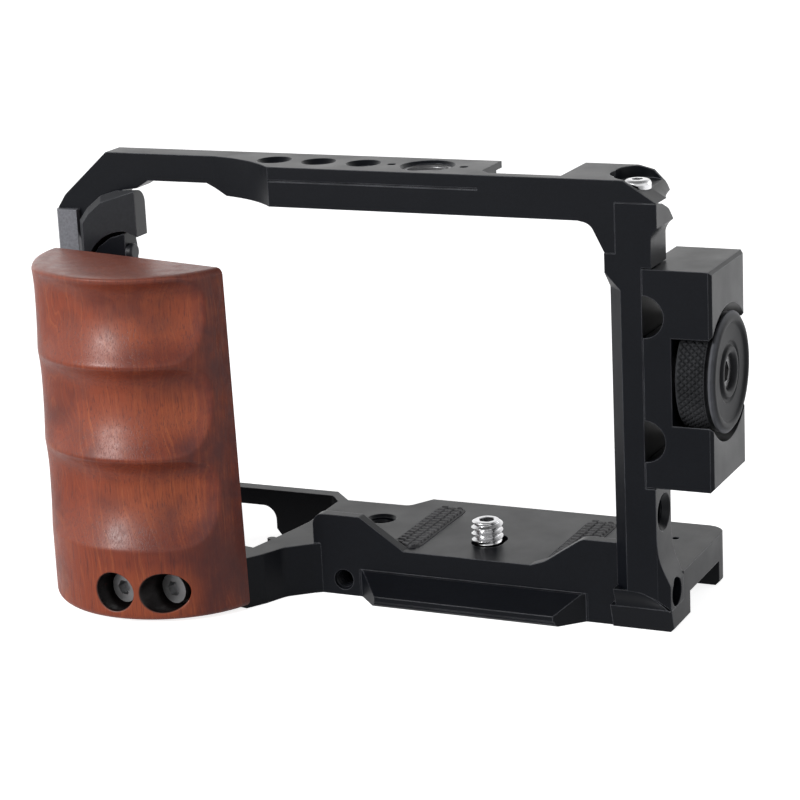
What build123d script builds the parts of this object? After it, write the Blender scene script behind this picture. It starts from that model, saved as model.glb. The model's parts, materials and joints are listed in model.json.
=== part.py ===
from build123d import *
import math
import os

# Camera cage: machined frame, wooden hand grip, cable clamp and camera screw.
# All sizes are in millimetres. The origin is on the camera screw's axis, in the
# plane of the base plate's top face. X runs towards the cable clamp, Y towards
# the back of the camera, Z up.

# ---- base plate ----
base_height = 10.4          # top face down to the feet
plate_thick = 5.2           # web between the feet
front_y = -10.3             # face of the front wall and of the two raised lips
rear_y = 22.6               # rear edge of the plate
dovetail_width = 38.0       # standard quick-release rail, front to back
dovetail_neck = 4.7         # depth of the rail's upper edge below the seat
dovetail_flank = 3.5        # height of the 45 degree flank
rail_left = -18.3
rail_right = 19.5
base_right = 42.6
lip_thick = 2.2
lip_height = 6.3
window_back = 18.8          # inner face of the rear rail beside the battery window
rear_rail_y = 21.7
rear_rail_high = 3.6
corner_r = 4.0

# ---- opening for the camera ----
inner_right = 31.2
inner_left = -85.6
head_room = 69.2
bar_thick = 7.8
cage_top = head_room + bar_thick

# ---- right upright ----
upright_front = -13.6
upright_wide = 9.1
upright_deep = 8.4
upright_bevel = 3.0
foot_drop = 5.6             # how far the upright's foot reaches below the seat
head_rear = -4.2
corner_thick = 4.1          # top bar's corner above the upright's head
head_shelf = cage_top - corner_thick
gusset_drop = 5.8           # bar's gusset below the opening's top
gusset_low = head_room - gusset_drop
bevel_high = gusset_low - 6.9

# ---- top bar ----
bar_deep = 14.2
slim_front = -5.0           # front face of the slim left part
step_left = -53.9           # where the bar starts to sweep out to its full depth
step_right = -37.4
slim_thick = 5.5
slim_under = cage_top - slim_thick
shoe_left = 5.7             # gap left for the camera's accessory shoe
shoe_right = 22.3
shoe_wall = 2.4
corner_rear = 1.9
post_wide = 5.0
post_front = -6.2
shoulder_round = 3.0
shoulder_drop = 11.9        # top of the left post below the bar's top
post_top = cage_top - shoulder_drop
hole_pitch = 9.6            # row of three accessory holes
first_hole = -39.3
row_y = -6.5
lock_x = -6.6               # large accessory hole with its two locating holes
lock_pin_gap = 15.0

# ---- lug on the left shoulder ----
lug_left = inner_left + 1.7
lug_wide = 13.9
lug_right = lug_left + lug_wide
lug_front = -9.2
lug_drop = 6.9
lug_top = cage_top - lug_drop
lug_low = lug_top - 24.1
ear_wide = 8.1
ear_left = lug_left + 2.3
ear_right = ear_left + ear_wide
ear_screw_y = -6.6
ear_screw_z = lug_top - 13.1
ear_screw_deep = 5.0
wood_screw_u = (-13.0, -4.0)
block_high = 12.0           # block between the ear and the wood
block_low = lug_low - block_high - 4.0
wood_screw_z = block_low + block_high / 2

# ---- threads and screws ----
quarter_r = 3.175           # 1/4 inch screw, outside
quarter_core_r = 2.6        # 1/4 inch tapped hole, wall
three_eighth_core_r = 4.0   # 3/8 inch insert, wall
insert_r = 4.9
thread_play = 0.06          # shaft in a tapped or guiding bore, per side
slide_play = 0.15           # flat sliding faces
seam = 0.05                 # bolted parts, kept just apart

# ---- camera screw ----
screw_proud = 4.8
screw_head_r = 6.0
screw_neck_r = 2.5
screw_travel = 2.0
slot_r = 3.3
carriage_wide = 18.4
carriage_deep = 12.0
carriage_thick = 0.8
guide_high = 1.1

# ---- rubber pads ----
pad_wide = 6.2
pad_long = 26.0
pad_sink = 0.9
pad_proud = 0.6
pad_left_x = -15.0
pad_right_x = 18.1
pad_y = 5.1
rib_count = 15
rib_high = 0.4

# ---- cable clamp ----
clamp_web = 5.4             # upright side of the block to the knob's well
clamp_front = -13.6
clamp_rear = 6.4
clamp_low = 18.9
clamp_high = 60.7
knob_z = 39.6
clamp_gap = 0.1             # clamp block to the upright when closed
notch_r = 4.0
notch_offset = 11.9         # cable notches above and below the knob
knob_r = 11.5
knob_well_r = 13.0
knurl_r = 11.3
knurl_long = 5.8
flange_thick = 1.8
knob_proud = 0.7            # knob's face ahead of the block's
washer_room = 0.9
stud_r = 2.5
socket_r = 3.4
boss_rear = 2.6

# ---- wooden grip ----
grip_low = -9.8
grip_high = post_top - 6.1
grip_half = 22.9            # half the width
grip_bulge = 19.6           # front to back
grip_mid_x = inner_left + 20.8
window_right = grip_mid_x + grip_half - 1.3    # battery window's end, level with the grip's
grip_mid_y = -18.9
grip_turn = -11.8           # turned outwards about Z, degrees
grip_flare = 0.8            # right edge leans out by this at the foot and in at the top
groove_deep = 1.8
grip_hole_r = 3.95
grip_hole_z = -4.0
grip_hole_u = (5.0, 14.2)
grip_screw_sink = 6.2
grip_bolt_r = 1.9
grip_bolt_head = 3.0
grip_bolt_head_r = 3.0
arm_thick = 6.5

# ---- derived positions ----
base_floor = -base_height
dovetail_y = rear_y - dovetail_width
flank_low = -dovetail_neck - dovetail_flank
upright_right = inner_right + upright_wide
upright_rear = upright_front + upright_deep
bar_rear = upright_front + bar_deep
post_left = inner_left - post_wide
knob_y = (clamp_front + clamp_rear) / 2
notch_z = (clamp_low + clamp_high) / 2
boss_right = upright_right - 2.0
clamp_left = boss_right + clamp_gap
well_floor = clamp_left + clamp_web
knob_inner = well_floor + washer_room
flange_inner = knob_inner + knurl_long
knob_outer = flange_inner + flange_thick
clamp_right = knob_outer - knob_proud
foot_screw_y = -9.3
foot_screw_z = -2.7
corner_screw_x = inner_right + 5.1
corner_screw_y = -8.8
scoop_floor = cage_top - 2.3
corner_bolt_long = 11.0
foot_bolt_sink = 5.4
post_bolt_sink = 3.2
post_bolt_long = 15.0
carriage_top = -plate_thick - slide_play
head_top = carriage_top - carriage_thick - 0.2

grip_plane = Plane(
    origin=(grip_mid_x, grip_mid_y, 0),
    x_dir=(math.cos(math.radians(grip_turn)), math.sin(math.radians(grip_turn)), 0),
    z_dir=(0, 0, 1),
)


def grip_point(u, v):
    """Plan position of a point u along the grip's flat back and v in front of it."""
    p = grip_plane.from_local_coords(Vector(u, -v, 0))
    return (p.X, p.Y)


def grip_axis(u, v, z):
    """Plane at a point of the grip, facing forward and square to its flat back."""
    x, y = grip_point(u, v)
    return Plane(origin=(x, y, z), x_dir=grip_plane.x_dir, z_dir=-grip_plane.y_dir)


def grip_reach(u):
    """Depth of the round grip in front of its flat back, a point u along it."""
    radius = (grip_half**2 + grip_bulge**2) / (2 * grip_bulge)
    return grip_bulge - radius + math.sqrt(radius**2 - u**2)


def nearest(shapes, x, y):
    return shapes.sort_by(lambda s: (s.center().X - x) ** 2 + (s.center().Y - y) ** 2)[0]


# Flat back of the grip, and the arm that runs along it on the inside.
back_right = grip_point(grip_half - 0.2, -seam)
back_left = grip_point(-grip_half, -seam)
arm_right = grip_point(grip_half - 3.0, -arm_thick)
arm_left = grip_point(-grip_half + 2.5, -arm_thick)
block_left = grip_point(-19.0, -seam)
block_right = grip_point(2.0, -seam)

# ================= base plate =================
with BuildPart() as base_plate:
    # one slab in plan: plate, forward arm behind the grip, side member and rear rail
    with BuildSketch(Plane.XY.offset(base_floor)) as slab:
        with BuildLine():
            Polyline(
                (inner_right + 2, front_y),
                (base_right, front_y),
                (base_right, rear_y),
                (window_right + 21.5, rear_y),
                (window_right + 18.4, rear_y - 5.4),
                (window_right + 4.3, rear_y - 5.6),
                (window_right - 0.3, rear_rail_y),
                (post_left, rear_rail_y),
                (post_left, back_left[1] + 1.0),
                (back_left[0], back_left[1]),
                (back_right[0], back_right[1]),
                (window_right + 3.1, -19.6),
                (window_right + 5.2, -14.9),
                (window_right + 9.7, -11.2),
                (window_right + 11.2, front_y),
                (inner_right + 2, front_y),
            )
        make_face()
        fillet(nearest(slab.vertices(), base_right, rear_y), corner_r)
        fillet(nearest(slab.vertices(), post_left, rear_rail_y), 3.0)
        fillet(nearest(slab.vertices(), window_right + 5.2, -14.9), 4.0)
        fillet(nearest(slab.vertices(), window_right + 18.4, rear_y - 5.4), 2.0)
    extrude(amount=base_height)
    # battery window
    with BuildSketch(Plane.XY.offset(base_floor)) as window:
        with BuildLine():
            Polyline(
                (inner_left, window_back),
                (window_right, window_back),
                (window_right + 2.6, window_back - 3.2),
                (window_right + 2.8, 1.5),
                (window_right + 1.8, -4.6),
                (arm_right[0], arm_right[1]),
                (arm_left[0], arm_left[1]),
                (inner_left, arm_left[1] + 3.0),
                (inner_left, window_back),
            )
        make_face()
        fillet(nearest(window.vertices(), window_right, window_back), 1.6)
        fillet(nearest(window.vertices(), window_right + 1.8, -4.6), 6.0)
        fillet(nearest(window.vertices(), inner_left, window_back), 2.0)
    extrude(amount=base_height, mode=Mode.SUBTRACT)
    # the rear rail is thin where it crosses the window
    with BuildSketch(Plane.XZ.offset(-window_back + 0.5)) as rail_cut:
        with BuildLine():
            Polyline(
                (inner_left + 1.0, base_floor - 1),
                (inner_left + 1.0, -rear_rail_high),
                (window_right - 14.0, -rear_rail_high),
                (window_right - 14.0, base_floor + 1.8),
                (window_right - 11.8, base_floor - 1),
                (inner_left + 1.0, base_floor - 1),
            )
        make_face()
        fillet(nearest(rail_cut.vertices(), window_right - 14.0, -rear_rail_high), 3.0)
    extrude(amount=-6, mode=Mode.SUBTRACT)
    # quick-release rail along the front edge
    with BuildSketch(Plane.YZ.offset(rail_left - 5.4)):
        with BuildLine():
            Polyline(
                (front_y + 1, -dovetail_neck),
                (front_y - 0.7, -dovetail_neck),
                (dovetail_y, flank_low),
                (dovetail_y, flank_low - 1.0),
                (dovetail_y + 0.3, flank_low - 1.3),
                (dovetail_y + 0.3, base_floor + 0.5),
                (dovetail_y + 0.8, base_floor),
                (front_y + 1, base_floor),
                (front_y + 1, -dovetail_neck),
            )
        make_face()
    extrude(amount=rail_right - rail_left + 10.8)
    # the rail's ends are cut back at 45 degrees
    with BuildSketch(Plane.XY.offset(base_floor - 1)):
        with BuildLine():
            Polyline(
                (rail_left - 6.5, front_y - 0.02),
                (rail_left - 6.5, dovetail_y - 1),
                (rail_left + 1.0, dovetail_y - 1),
                (rail_left - 5.0, front_y - 0.02),
                (rail_left - 6.5, front_y - 0.02),
            )
        make_face()
        with BuildLine():
            Polyline(
                (rail_right + 6.5, front_y - 0.02),
                (rail_right + 6.5, dovetail_y - 1),
                (rail_right - 1.0, dovetail_y - 1),
                (rail_right + 5.0, front_y - 0.02),
                (rail_right + 6.5, front_y - 0.02),
            )
        make_face()
    extrude(amount=base_height, mode=Mode.SUBTRACT)
    # matching V groove under the rear edge
    with BuildSketch(Plane.YZ.offset(rail_left)):
        with BuildLine():
            Polyline(
                (rear_y + 1, flank_low - 1.0),
                (rear_y, flank_low),
                (rear_y - dovetail_flank, -dovetail_neck),
                (rear_y + 1, -dovetail_neck),
                (rear_y + 1, flank_low - 1.0),
            )
        make_face()
    extrude(amount=rail_right - rail_left, mode=Mode.SUBTRACT)
    # foot under the upright, leaning back towards the floor
    with BuildSketch(Plane.YZ.offset(inner_right - 1.0)):
        with BuildLine():
            Polyline(
                (-12.4, -foot_drop),
                (-10.9, base_floor),
                (front_y + 2, base_floor),
                (front_y + 2, -foot_drop),
                (-12.4, -foot_drop),
            )
        make_face()
    extrude(amount=base_right - inner_right + 1.0)
    # seat for the upright's foot
    with Locations((inner_right - seam, upright_rear + seam, seam)):
        Box(
            base_right, 20, foot_drop + seam,
            align=(Align.MIN, Align.MAX, Align.MAX), mode=Mode.SUBTRACT,
        )
    # open channel under the right end, with its small retaining edge
    with Locations((14.0, -1.5, base_floor)):
        Box(
            base_right, 18.2, base_height - plate_thick,
            align=(Align.MIN, Align.MIN, Align.MIN), mode=Mode.SUBTRACT,
        )
    with Locations((inner_right, -1.6, -8.2)):
        Box(base_right - inner_right - 0.3, 0.7, 1.2, align=(Align.MIN, Align.MIN, Align.MIN))
    # pocket and guide grooves for the camera screw's carriage
    with Locations((0, front_y + 2.0, base_floor)):
        Box(
            carriage_wide - 3.0, 25.0, base_height - plate_thick,
            align=(Align.CENTER, Align.MIN, Align.MIN), mode=Mode.SUBTRACT,
        )
    with Locations((0, front_y + 2.4, -plate_thick - guide_high)):
        Box(
            carriage_wide + 2 * slide_play, 24.6, guide_high,
            align=(Align.CENTER, Align.MIN, Align.MIN), mode=Mode.SUBTRACT,
        )
    # raised lips that stop the camera turning
    with BuildSketch(Plane.XZ.offset(-front_y)) as left_lip:
        with BuildLine():
            Polyline(
                (-33.6, -1.0),
                (-33.6, lip_height),
                (-23.2, lip_height),
                (-13.9, 0.0),
                (-13.9, -1.0),
                (-33.6, -1.0),
            )
        make_face()
        fillet(nearest(left_lip.vertices(), -33.6, lip_height), 2.4)
        fillet(nearest(left_lip.vertices(), -23.2, lip_height), 1.0)
    extrude(amount=-lip_thick)
    with BuildSketch(Plane.XZ.offset(-front_y)) as right_lip:
        with BuildLine():
            Polyline(
                (13.2, -1.0),
                (13.2, 0.0),
                (16.3, 1.1),
                (24.0, lip_height),
                (inner_right - seam, lip_height),
                (inner_right - seam, -1.0),
                (13.2, -1.0),
            )
        make_face()
        fillet(nearest(right_lip.vertices(), 24.0, lip_height), 3.0)
        fillet(nearest(right_lip.vertices(), 16.3, 1.1), 5.0)
    extrude(amount=-lip_thick)
    # recesses for the rubber pads
    with BuildSketch(Plane.XY):
        with Locations((pad_left_x, pad_y), (pad_right_x, pad_y)):
            RectangleRounded(pad_wide + 2 * slide_play, pad_long + 2 * slide_play, 2.4)
    extrude(amount=-pad_sink, mode=Mode.SUBTRACT)
    # slot for the camera screw
    with BuildSketch(Plane.XY):
        with Locations((0, screw_travel / 2)):
            SlotCenterToCenter(screw_travel, 2 * slot_r, rotation=90)
    extrude(amount=-plate_thick, mode=Mode.SUBTRACT)
    # accessory hole beside the left lip
    with Locations((-26.8, 7.7, 0)):
        CounterSinkHole(radius=quarter_core_r, counter_sink_radius=3.1, depth=base_height)
    # locating hole in the front face, marker hole near the right end
    with Locations(Location((-27.2, front_y, -7.2), (90, 0, 0))):
        Hole(radius=2.1, depth=8.0)
    with Locations((34.9, 13.0, 0)):
        Hole(radius=0.75, depth=2.0)
    # counterbore for the bolt that comes in from below
    with Locations(Location((post_left + post_wide / 2, slim_front + 2.8, base_floor), (180, 0, 0))):
        CounterBoreHole(
            radius=1.5, counter_bore_radius=2.9, counter_bore_depth=post_bolt_sink, depth=base_height
        )
    # bores for the two grip bolts, square to the grip's back
    for bolt_u in grip_hole_u:
        with Locations(grip_axis(bolt_u, 0, grip_hole_z)):
            Cylinder(2.0, 20.0, mode=Mode.SUBTRACT)
    # retaining nub on the arm's inner edge
    with Locations((window_right + 0.1, -10.2, -1.2)):
        Cylinder(0.9, 2.4)
    # fine edge break on the right foot's lower corner
    chamfer(
        base_plate.edges().filter_by(Axis.Y).sort_by(
            lambda e: (e.center().X - base_right) ** 2 + (e.center().Z - base_floor) ** 2
        )[0:2],
        0.8,
    )
base_plate.part.label = "base_plate"

# ================= right upright =================
with BuildPart() as right_upright:
    # straight post from the foot to the head
    with BuildSketch(Plane.XY.offset(-foot_drop)):
        with Locations((inner_right, upright_front)):
            Rectangle(upright_wide, upright_deep, align=(Align.MIN, Align.MIN))
    extrude(amount=foot_drop + gusset_low - seam)
    # long bevel on the camera side of the front face, dying out below the head
    with BuildSketch(Plane.XY.offset(-2.4)):
        with BuildLine():
            Polyline(
                (inner_right - 1, upright_front - 1),
                (inner_right + upright_bevel + 1, upright_front - 1),
                (inner_right - 1, upright_front + upright_bevel + 1),
                (inner_right - 1, upright_front - 1),
            )
        make_face()
    extrude(amount=bevel_high + 2.4, mode=Mode.SUBTRACT)
    with BuildSketch(Plane.XY.offset(bevel_high)):
        with BuildLine():
            Polyline(
                (inner_right - 1, upright_front - 1),
                (inner_right + upright_bevel + 1, upright_front - 1),
                (inner_right - 1, upright_front + upright_bevel + 1),
                (inner_right - 1, upright_front - 1),
            )
        make_face()
    with BuildSketch(Plane.XY.offset(bevel_high + 3.1)):
        with BuildLine():
            Polyline(
                (inner_right - 1, upright_front - 1),
                (inner_right + 1.1, upright_front - 1),
                (inner_right - 1, upright_front + 1.1),
                (inner_right - 1, upright_front - 1),
            )
        make_face()
    loft(mode=Mode.SUBTRACT)
    # head that carries the top bar, sloping down towards the back
    with BuildSketch(Plane.YZ.offset(inner_right + 2.2)) as head:
        with BuildLine():
            Polyline(
                (upright_front, head_shelf - 10.9),
                (upright_front, head_shelf - seam),
                (upright_front + 3.2, head_shelf - 0.5),
                (head_rear - 2.4, head_shelf - 2.1),
                (head_rear, head_shelf - 4.5),
                (upright_rear, head_shelf - 6.5),
                (upright_rear, head_shelf - 10.9),
                (upright_front, head_shelf - 10.9),
            )
        make_face()
        fillet(nearest(head.vertices(), head_rear - 2.4, head_shelf - 2.1), 4.0)
    extrude(amount=upright_right + 1.2 - inner_right - 2.2)
    # undercut below the overhanging edge of the head
    with BuildSketch(Plane.XZ.offset(-upright_front)):
        with BuildLine():
            Line((upright_right, head_shelf - 11.9), (upright_right, head_shelf - 6.9))
            Spline(
                (upright_right, head_shelf - 6.9),
                (upright_right + 0.35, head_shelf - 5.5),
                (upright_right + 1.4, head_shelf - 4.5),
                tangents=[(0, 1), (1, 0.5)],
            )
            Polyline(
                (upright_right + 1.4, head_shelf - 4.5),
                (upright_right + 3, head_shelf - 4.5),
                (upright_right + 3, head_shelf - 11.9),
                (upright_right, head_shelf - 11.9),
            )
        make_face()
    extrude(amount=-20, mode=Mode.SUBTRACT)
    # foot flares out to the end of the base plate
    with BuildSketch(Plane.XZ.offset(-upright_front)):
        with BuildLine():
            Line((upright_right - 1, -foot_drop), (base_right, -foot_drop))
            Line((base_right, -foot_drop), (base_right, -0.6))
            Spline(
                (base_right, -0.6), (upright_right + 0.7, 3.6), (upright_right, 10.0),
                tangents=[(-0.35, 1), (0, 1)],
            )
            Line((upright_right, 10.0), (upright_right - 1, 10.0))
            Line((upright_right - 1, 10.0), (upright_right - 1, -foot_drop))
        make_face()
    extrude(amount=-upright_deep)
    with BuildSketch(Plane.XY.offset(-foot_drop)):
        with BuildLine():
            Polyline(
                (upright_right, upright_front),
                (base_right + 1, -12.3),
                (base_right + 1, upright_front - 1),
                (upright_right, upright_front - 1),
                (upright_right, upright_front),
            )
        make_face()
    extrude(amount=foot_drop + 11, mode=Mode.SUBTRACT)
    # below a curved edge the front of the foot falls back to the base plate
    setback = front_y - upright_front - 0.1
    for share, fall in ((-0.03, 0.0), (0.42, 0.5), (0.76, 1.5), (1.0, 3.4)):
        depth = -upright_front - share * setback
        with BuildSketch(Plane.XZ.offset(depth)):
            with BuildLine():
                Polyline(
                    (inner_right - 5.2, -2.2 - fall),
                    (inner_right + 2.4, -1.9 - fall),
                    (inner_right + 5.6, -2.1 - fall),
                    (inner_right + 8.7, -3.2 - fall),
                    (inner_right + 11.8, -5.3 - fall),
                    (inner_right + 15.8, -8.6 - fall),
                    (inner_right + 15.8, -20.0),
                    (inner_right - 5.2, -20.0),
                    (inner_right - 5.2, -2.2 - fall),
                )
            make_face()
    loft(ruled=True, mode=Mode.SUBTRACT)
    # rebate that the clamp block sits in
    with Locations((boss_right, upright_front, clamp_low - 2 * clamp_gap)):
        Box(
            10, upright_deep, clamp_high - clamp_low + 4 * clamp_gap,
            align=(Align.MIN, Align.MIN, Align.MIN), mode=Mode.SUBTRACT,
        )
    # boss behind the post that takes the clamp stud
    with BuildSketch(Plane.YZ.offset(inner_right)) as boss:
        with Locations((upright_rear - 1, (clamp_low + clamp_high) / 2)):
            Rectangle(
                boss_rear - upright_rear + 1, clamp_high - clamp_low - 1.0,
                align=(Align.MIN, Align.CENTER),
            )
        fillet(boss.vertices().group_by(Axis.X)[-1], 3.0)
    extrude(amount=boss_right - inner_right)
    with Locations(Location((boss_right, knob_y, knob_z), (0, 90, 0))):
        Hole(radius=stud_r + thread_play, depth=30)
    # tapped accessory hole in the side, bolt hole in the foot
    with Locations(Location((upright_right, foot_screw_y, 13.0), (0, 90, 0))):
        CounterSinkHole(radius=quarter_core_r, counter_sink_radius=3.7, depth=6.5)
    with Locations(Location((base_right, foot_screw_y, foot_screw_z), (0, 90, 0))):
        CounterBoreHole(radius=1.6, counter_bore_radius=2.8, counter_bore_depth=foot_bolt_sink, depth=30)
    # tapped hole under the corner bolt
    with Locations((corner_screw_x, corner_screw_y, head_shelf)):
        Hole(radius=1.5, depth=10.0)
right_upright.part.label = "right_upright"

# ================= top bar =================
with BuildPart() as top_bar:
    # side elevation of the whole bar, shoulder to corner
    with BuildSketch(Plane.XZ.offset(-upright_front)) as elevation:
        with BuildLine():
            Polyline(
                (post_left, post_top),
                (post_left + 1.9, post_top + 2.8),
                (post_left + 12.2, cage_top),
                (inner_right + 3.9, cage_top),
                (upright_right + 1.2, head_shelf),
                (inner_right + 2.2, head_shelf),
                (inner_right + 2.2, gusset_low),
                (inner_right + 0.1, gusset_low),
                (inner_right - 2.6, head_room - 0.5),
                (inner_right - 5.0, head_room),
                (step_left + 3.0, head_room),
                (step_left - 1.7, slim_under),
                (inner_left + 16.6, slim_under),
                (inner_left + 13.8, slim_under - 1.7),
                (inner_left + 10.6, slim_under - 2.1),
                (inner_left + seam, post_top - 6.1),
                (inner_left + seam, post_top),
                (post_left, post_top),
            )
        make_face()
        fillet(nearest(elevation.vertices(), inner_right - 2.6, head_room - 0.5), 2.6)
        fillet(nearest(elevation.vertices(), post_left + 1.9, post_top + 2.8), shoulder_round)
    extrude(amount=-(corner_rear - upright_front))
    # plan: slim towards the grip, stepped and rounded at the back
    with BuildSketch(Plane.XY.offset(post_top - 8)) as plan:
        with BuildLine():
            Polyline(
                (step_left, slim_front),
                (post_left - 2, slim_front),
                (post_left - 2, upright_front - 1),
                (step_right, upright_front - 1),
                (step_right, upright_front),
            )
            ThreePointArc(
                (step_right, upright_front),
                (
                    (step_left + step_right) / 2 + 0.5,
                    (slim_front + upright_front) / 2 + 1.4,
                ),
                (step_left, slim_front),
            )
        make_face()
        with BuildLine():
            Polyline(
                (post_left - 2, bar_rear),
                (shoe_left, bar_rear),
                (shoe_left, upright_front + shoe_wall + 2.0),
                (shoe_left + 2.0, upright_front + shoe_wall),
                (shoe_right, upright_front + shoe_wall),
                (shoe_right, corner_rear + 1),
                (post_left - 2, corner_rear + 1),
                (post_left - 2, bar_rear),
            )
        make_face()
        with BuildLine():
            Polyline(
                (upright_right + 2, head_rear),
                (upright_right + 1.2, head_rear),
                (upright_right + 0.4, head_rear + 2.6),
                (upright_right - 1.4, head_rear + 4.8),
                (upright_right - 4.4, corner_rear),
                (upright_right - 4.4, corner_rear + 1),
                (upright_right + 2, corner_rear + 1),
                (upright_right + 2, head_rear),
            )
        make_face()
    extrude(amount=cage_top - post_top + 9, mode=Mode.SUBTRACT)
    # the corner's slope rounds over towards the back
    with BuildSketch(Plane.XZ.offset(8.0)):
        with BuildLine():
            Polyline(
                (inner_right + 3.8, cage_top),
                (inner_right + 6.0, cage_top - 1.38),
                (inner_right + 8.2, cage_top - 2.76),
                (inner_right + 11.8, cage_top - 5.0),
                (inner_right + 11.8, cage_top + 1),
                (inner_right + 3.8, cage_top + 1),
                (inner_right + 3.8, cage_top),
            )
        make_face()
    with BuildSketch(Plane.XZ.offset(-corner_rear - 0.5)):
        with BuildLine():
            Polyline(
                (inner_right + 1.6, cage_top),
                (inner_right + 4.8, cage_top - 0.8),
                (inner_right + 7.0, cage_top - 2.6),
                (inner_right + 9.8, cage_top - 6.6),
                (inner_right + 11.8, cage_top + 1),
                (inner_right + 1.6, cage_top + 1),
                (inner_right + 1.6, cage_top),
            )
        make_face()
    loft(mode=Mode.SUBTRACT)
    # gusset under the corner is only as deep as the upright
    with Locations((inner_right - 5.2, upright_rear, head_shelf)):
        Box(20, 10, 12, align=(Align.MIN, Align.MIN, Align.MAX), mode=Mode.SUBTRACT)
    # relief under the rear edge beside the accessory shoe
    with Locations((shoe_left, -2.2, cage_top - 1.3)):
        Box(9.0, 5, 10, align=(Align.MAX, Align.MIN, Align.MAX), mode=Mode.SUBTRACT)
    # fine step along the front face
    with Locations((step_right + 0.2, upright_front, cage_top - 2.7)):
        Box(
            shoe_left + 0.7 - step_right - 0.2, 0.25, 0.35,
            align=(Align.MIN, Align.MIN, Align.CENTER), mode=Mode.SUBTRACT,
        )
    # scoop and bolt seat in the corner
    with BuildSketch(Plane.XY.offset(scoop_floor)):
        with Locations((corner_screw_x, corner_screw_y)):
            Circle(4.3)
        with Locations((corner_screw_x - 1.0, corner_screw_y + 2.6)):
            Circle(5.0)
        with Locations((corner_screw_x - 1.4, corner_screw_y + 5.6)):
            Circle(4.6)
    extrude(amount=5, mode=Mode.SUBTRACT)
    with Locations((corner_screw_x, corner_screw_y, scoop_floor)):
        Hole(radius=1.6, depth=10)
    # row of accessory holes
    with Locations(*[(first_hole + i * hole_pitch, row_y, cage_top) for i in range(3)]):
        CounterSinkHole(radius=quarter_core_r, counter_sink_radius=3.5, depth=12)
    # large accessory hole for the threaded insert, with its locating holes
    with Locations((lock_x, row_y, cage_top)):
        CounterSinkHole(radius=insert_r, counter_sink_radius=5.4, depth=12)
    with Locations(
        (lock_x - lock_pin_gap / 2, row_y, cage_top), (lock_x + lock_pin_gap / 2, row_y, cage_top)
    ):
        Hole(radius=0.85, depth=3.0)
    # bolt hole down into the left post
    with Locations((post_left + post_wide / 2, slim_front + 2.8, post_top)):
        Cylinder(1.25, 5.0, mode=Mode.SUBTRACT)
top_bar.part.label = "top_bar"

# ================= left post =================
with BuildPart() as left_post:
    with Locations((post_left, post_front, 0)):
        Box(
            post_wide, bar_rear - post_front, post_top - seam,
            align=(Align.MIN, Align.MIN, Align.MIN),
        )
    chamfer(left_post.edges().filter_by(Axis.Z).sort_by(
        lambda e: (e.center().X - post_left) ** 2 + (e.center().Y - post_front) ** 2)[0], 0.6)
    # dowel end up into the bar, bolt hole below
    with Locations((post_left + post_wide / 2, slim_front + 2.8, post_top - seam)):
        Cylinder(1.2, 1.6, align=(Align.CENTER, Align.CENTER, Align.MIN))
    with Locations(Location((post_left + post_wide / 2, slim_front + 2.8, 0), (180, 0, 0))):
        Hole(radius=1.5, depth=9.0)
left_post.part.label = "left_post"

# ================= shoulder lug =================
with BuildPart() as shoulder_lug:
    # plate on the front of the shoulder, cut by an arch underneath
    with BuildSketch(Plane.XZ.offset(-lug_front)):
        with BuildLine():
            Line((lug_left, lug_low), (lug_left, lug_top - 6.7))
            Line((lug_left, lug_top - 6.7), (lug_left + 2.0, lug_top - 4.1))
            Line((lug_left + 2.0, lug_top - 4.1), (lug_left + 5.3, lug_top - 1.5))
            Line((lug_left + 5.3, lug_top - 1.5), (lug_right - 4.9, lug_top - 0.3))
            Line((lug_right - 4.9, lug_top - 0.3), (lug_right, lug_top))
            Line((lug_right, lug_top), (lug_right, lug_top - 9.4))
            Line((lug_right, lug_top - 9.4), (ear_right + 0.5, lug_top - 8.3))
            ThreePointArc(
                (ear_right + 0.5, lug_top - 8.3),
                ((ear_left + ear_right) / 2 - 0.85, lug_top - 10.1),
                (lug_left + 2.2, lug_top - 13.9),
            )
            Line((lug_left + 2.2, lug_top - 13.9), (lug_left + 2.2, lug_low))
            Line((lug_left + 2.2, lug_low), (lug_left, lug_low))
        make_face()
    extrude(amount=-(slim_front - seam - lug_front))
    # bevel round the outer front edge
    chamfer(
        shoulder_lug.faces().sort_by(Axis.Y)[0].edges().sort_by(
            lambda e: e.distance_to(Vertex(lug_left, lug_front, lug_top - 3.1))
        )[0:4],
        1.3,
    )
    # top rear edge rounded over
    fillet(
        shoulder_lug.faces().sort_by(Axis.Y)[-1].edges().sort_by(
            lambda e: e.distance_to(Vertex(lug_right - 2.45, slim_front, lug_top))
        )[0],
        3.0,
    )
shoulder_lug.part.label = "shoulder_lug"

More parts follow.
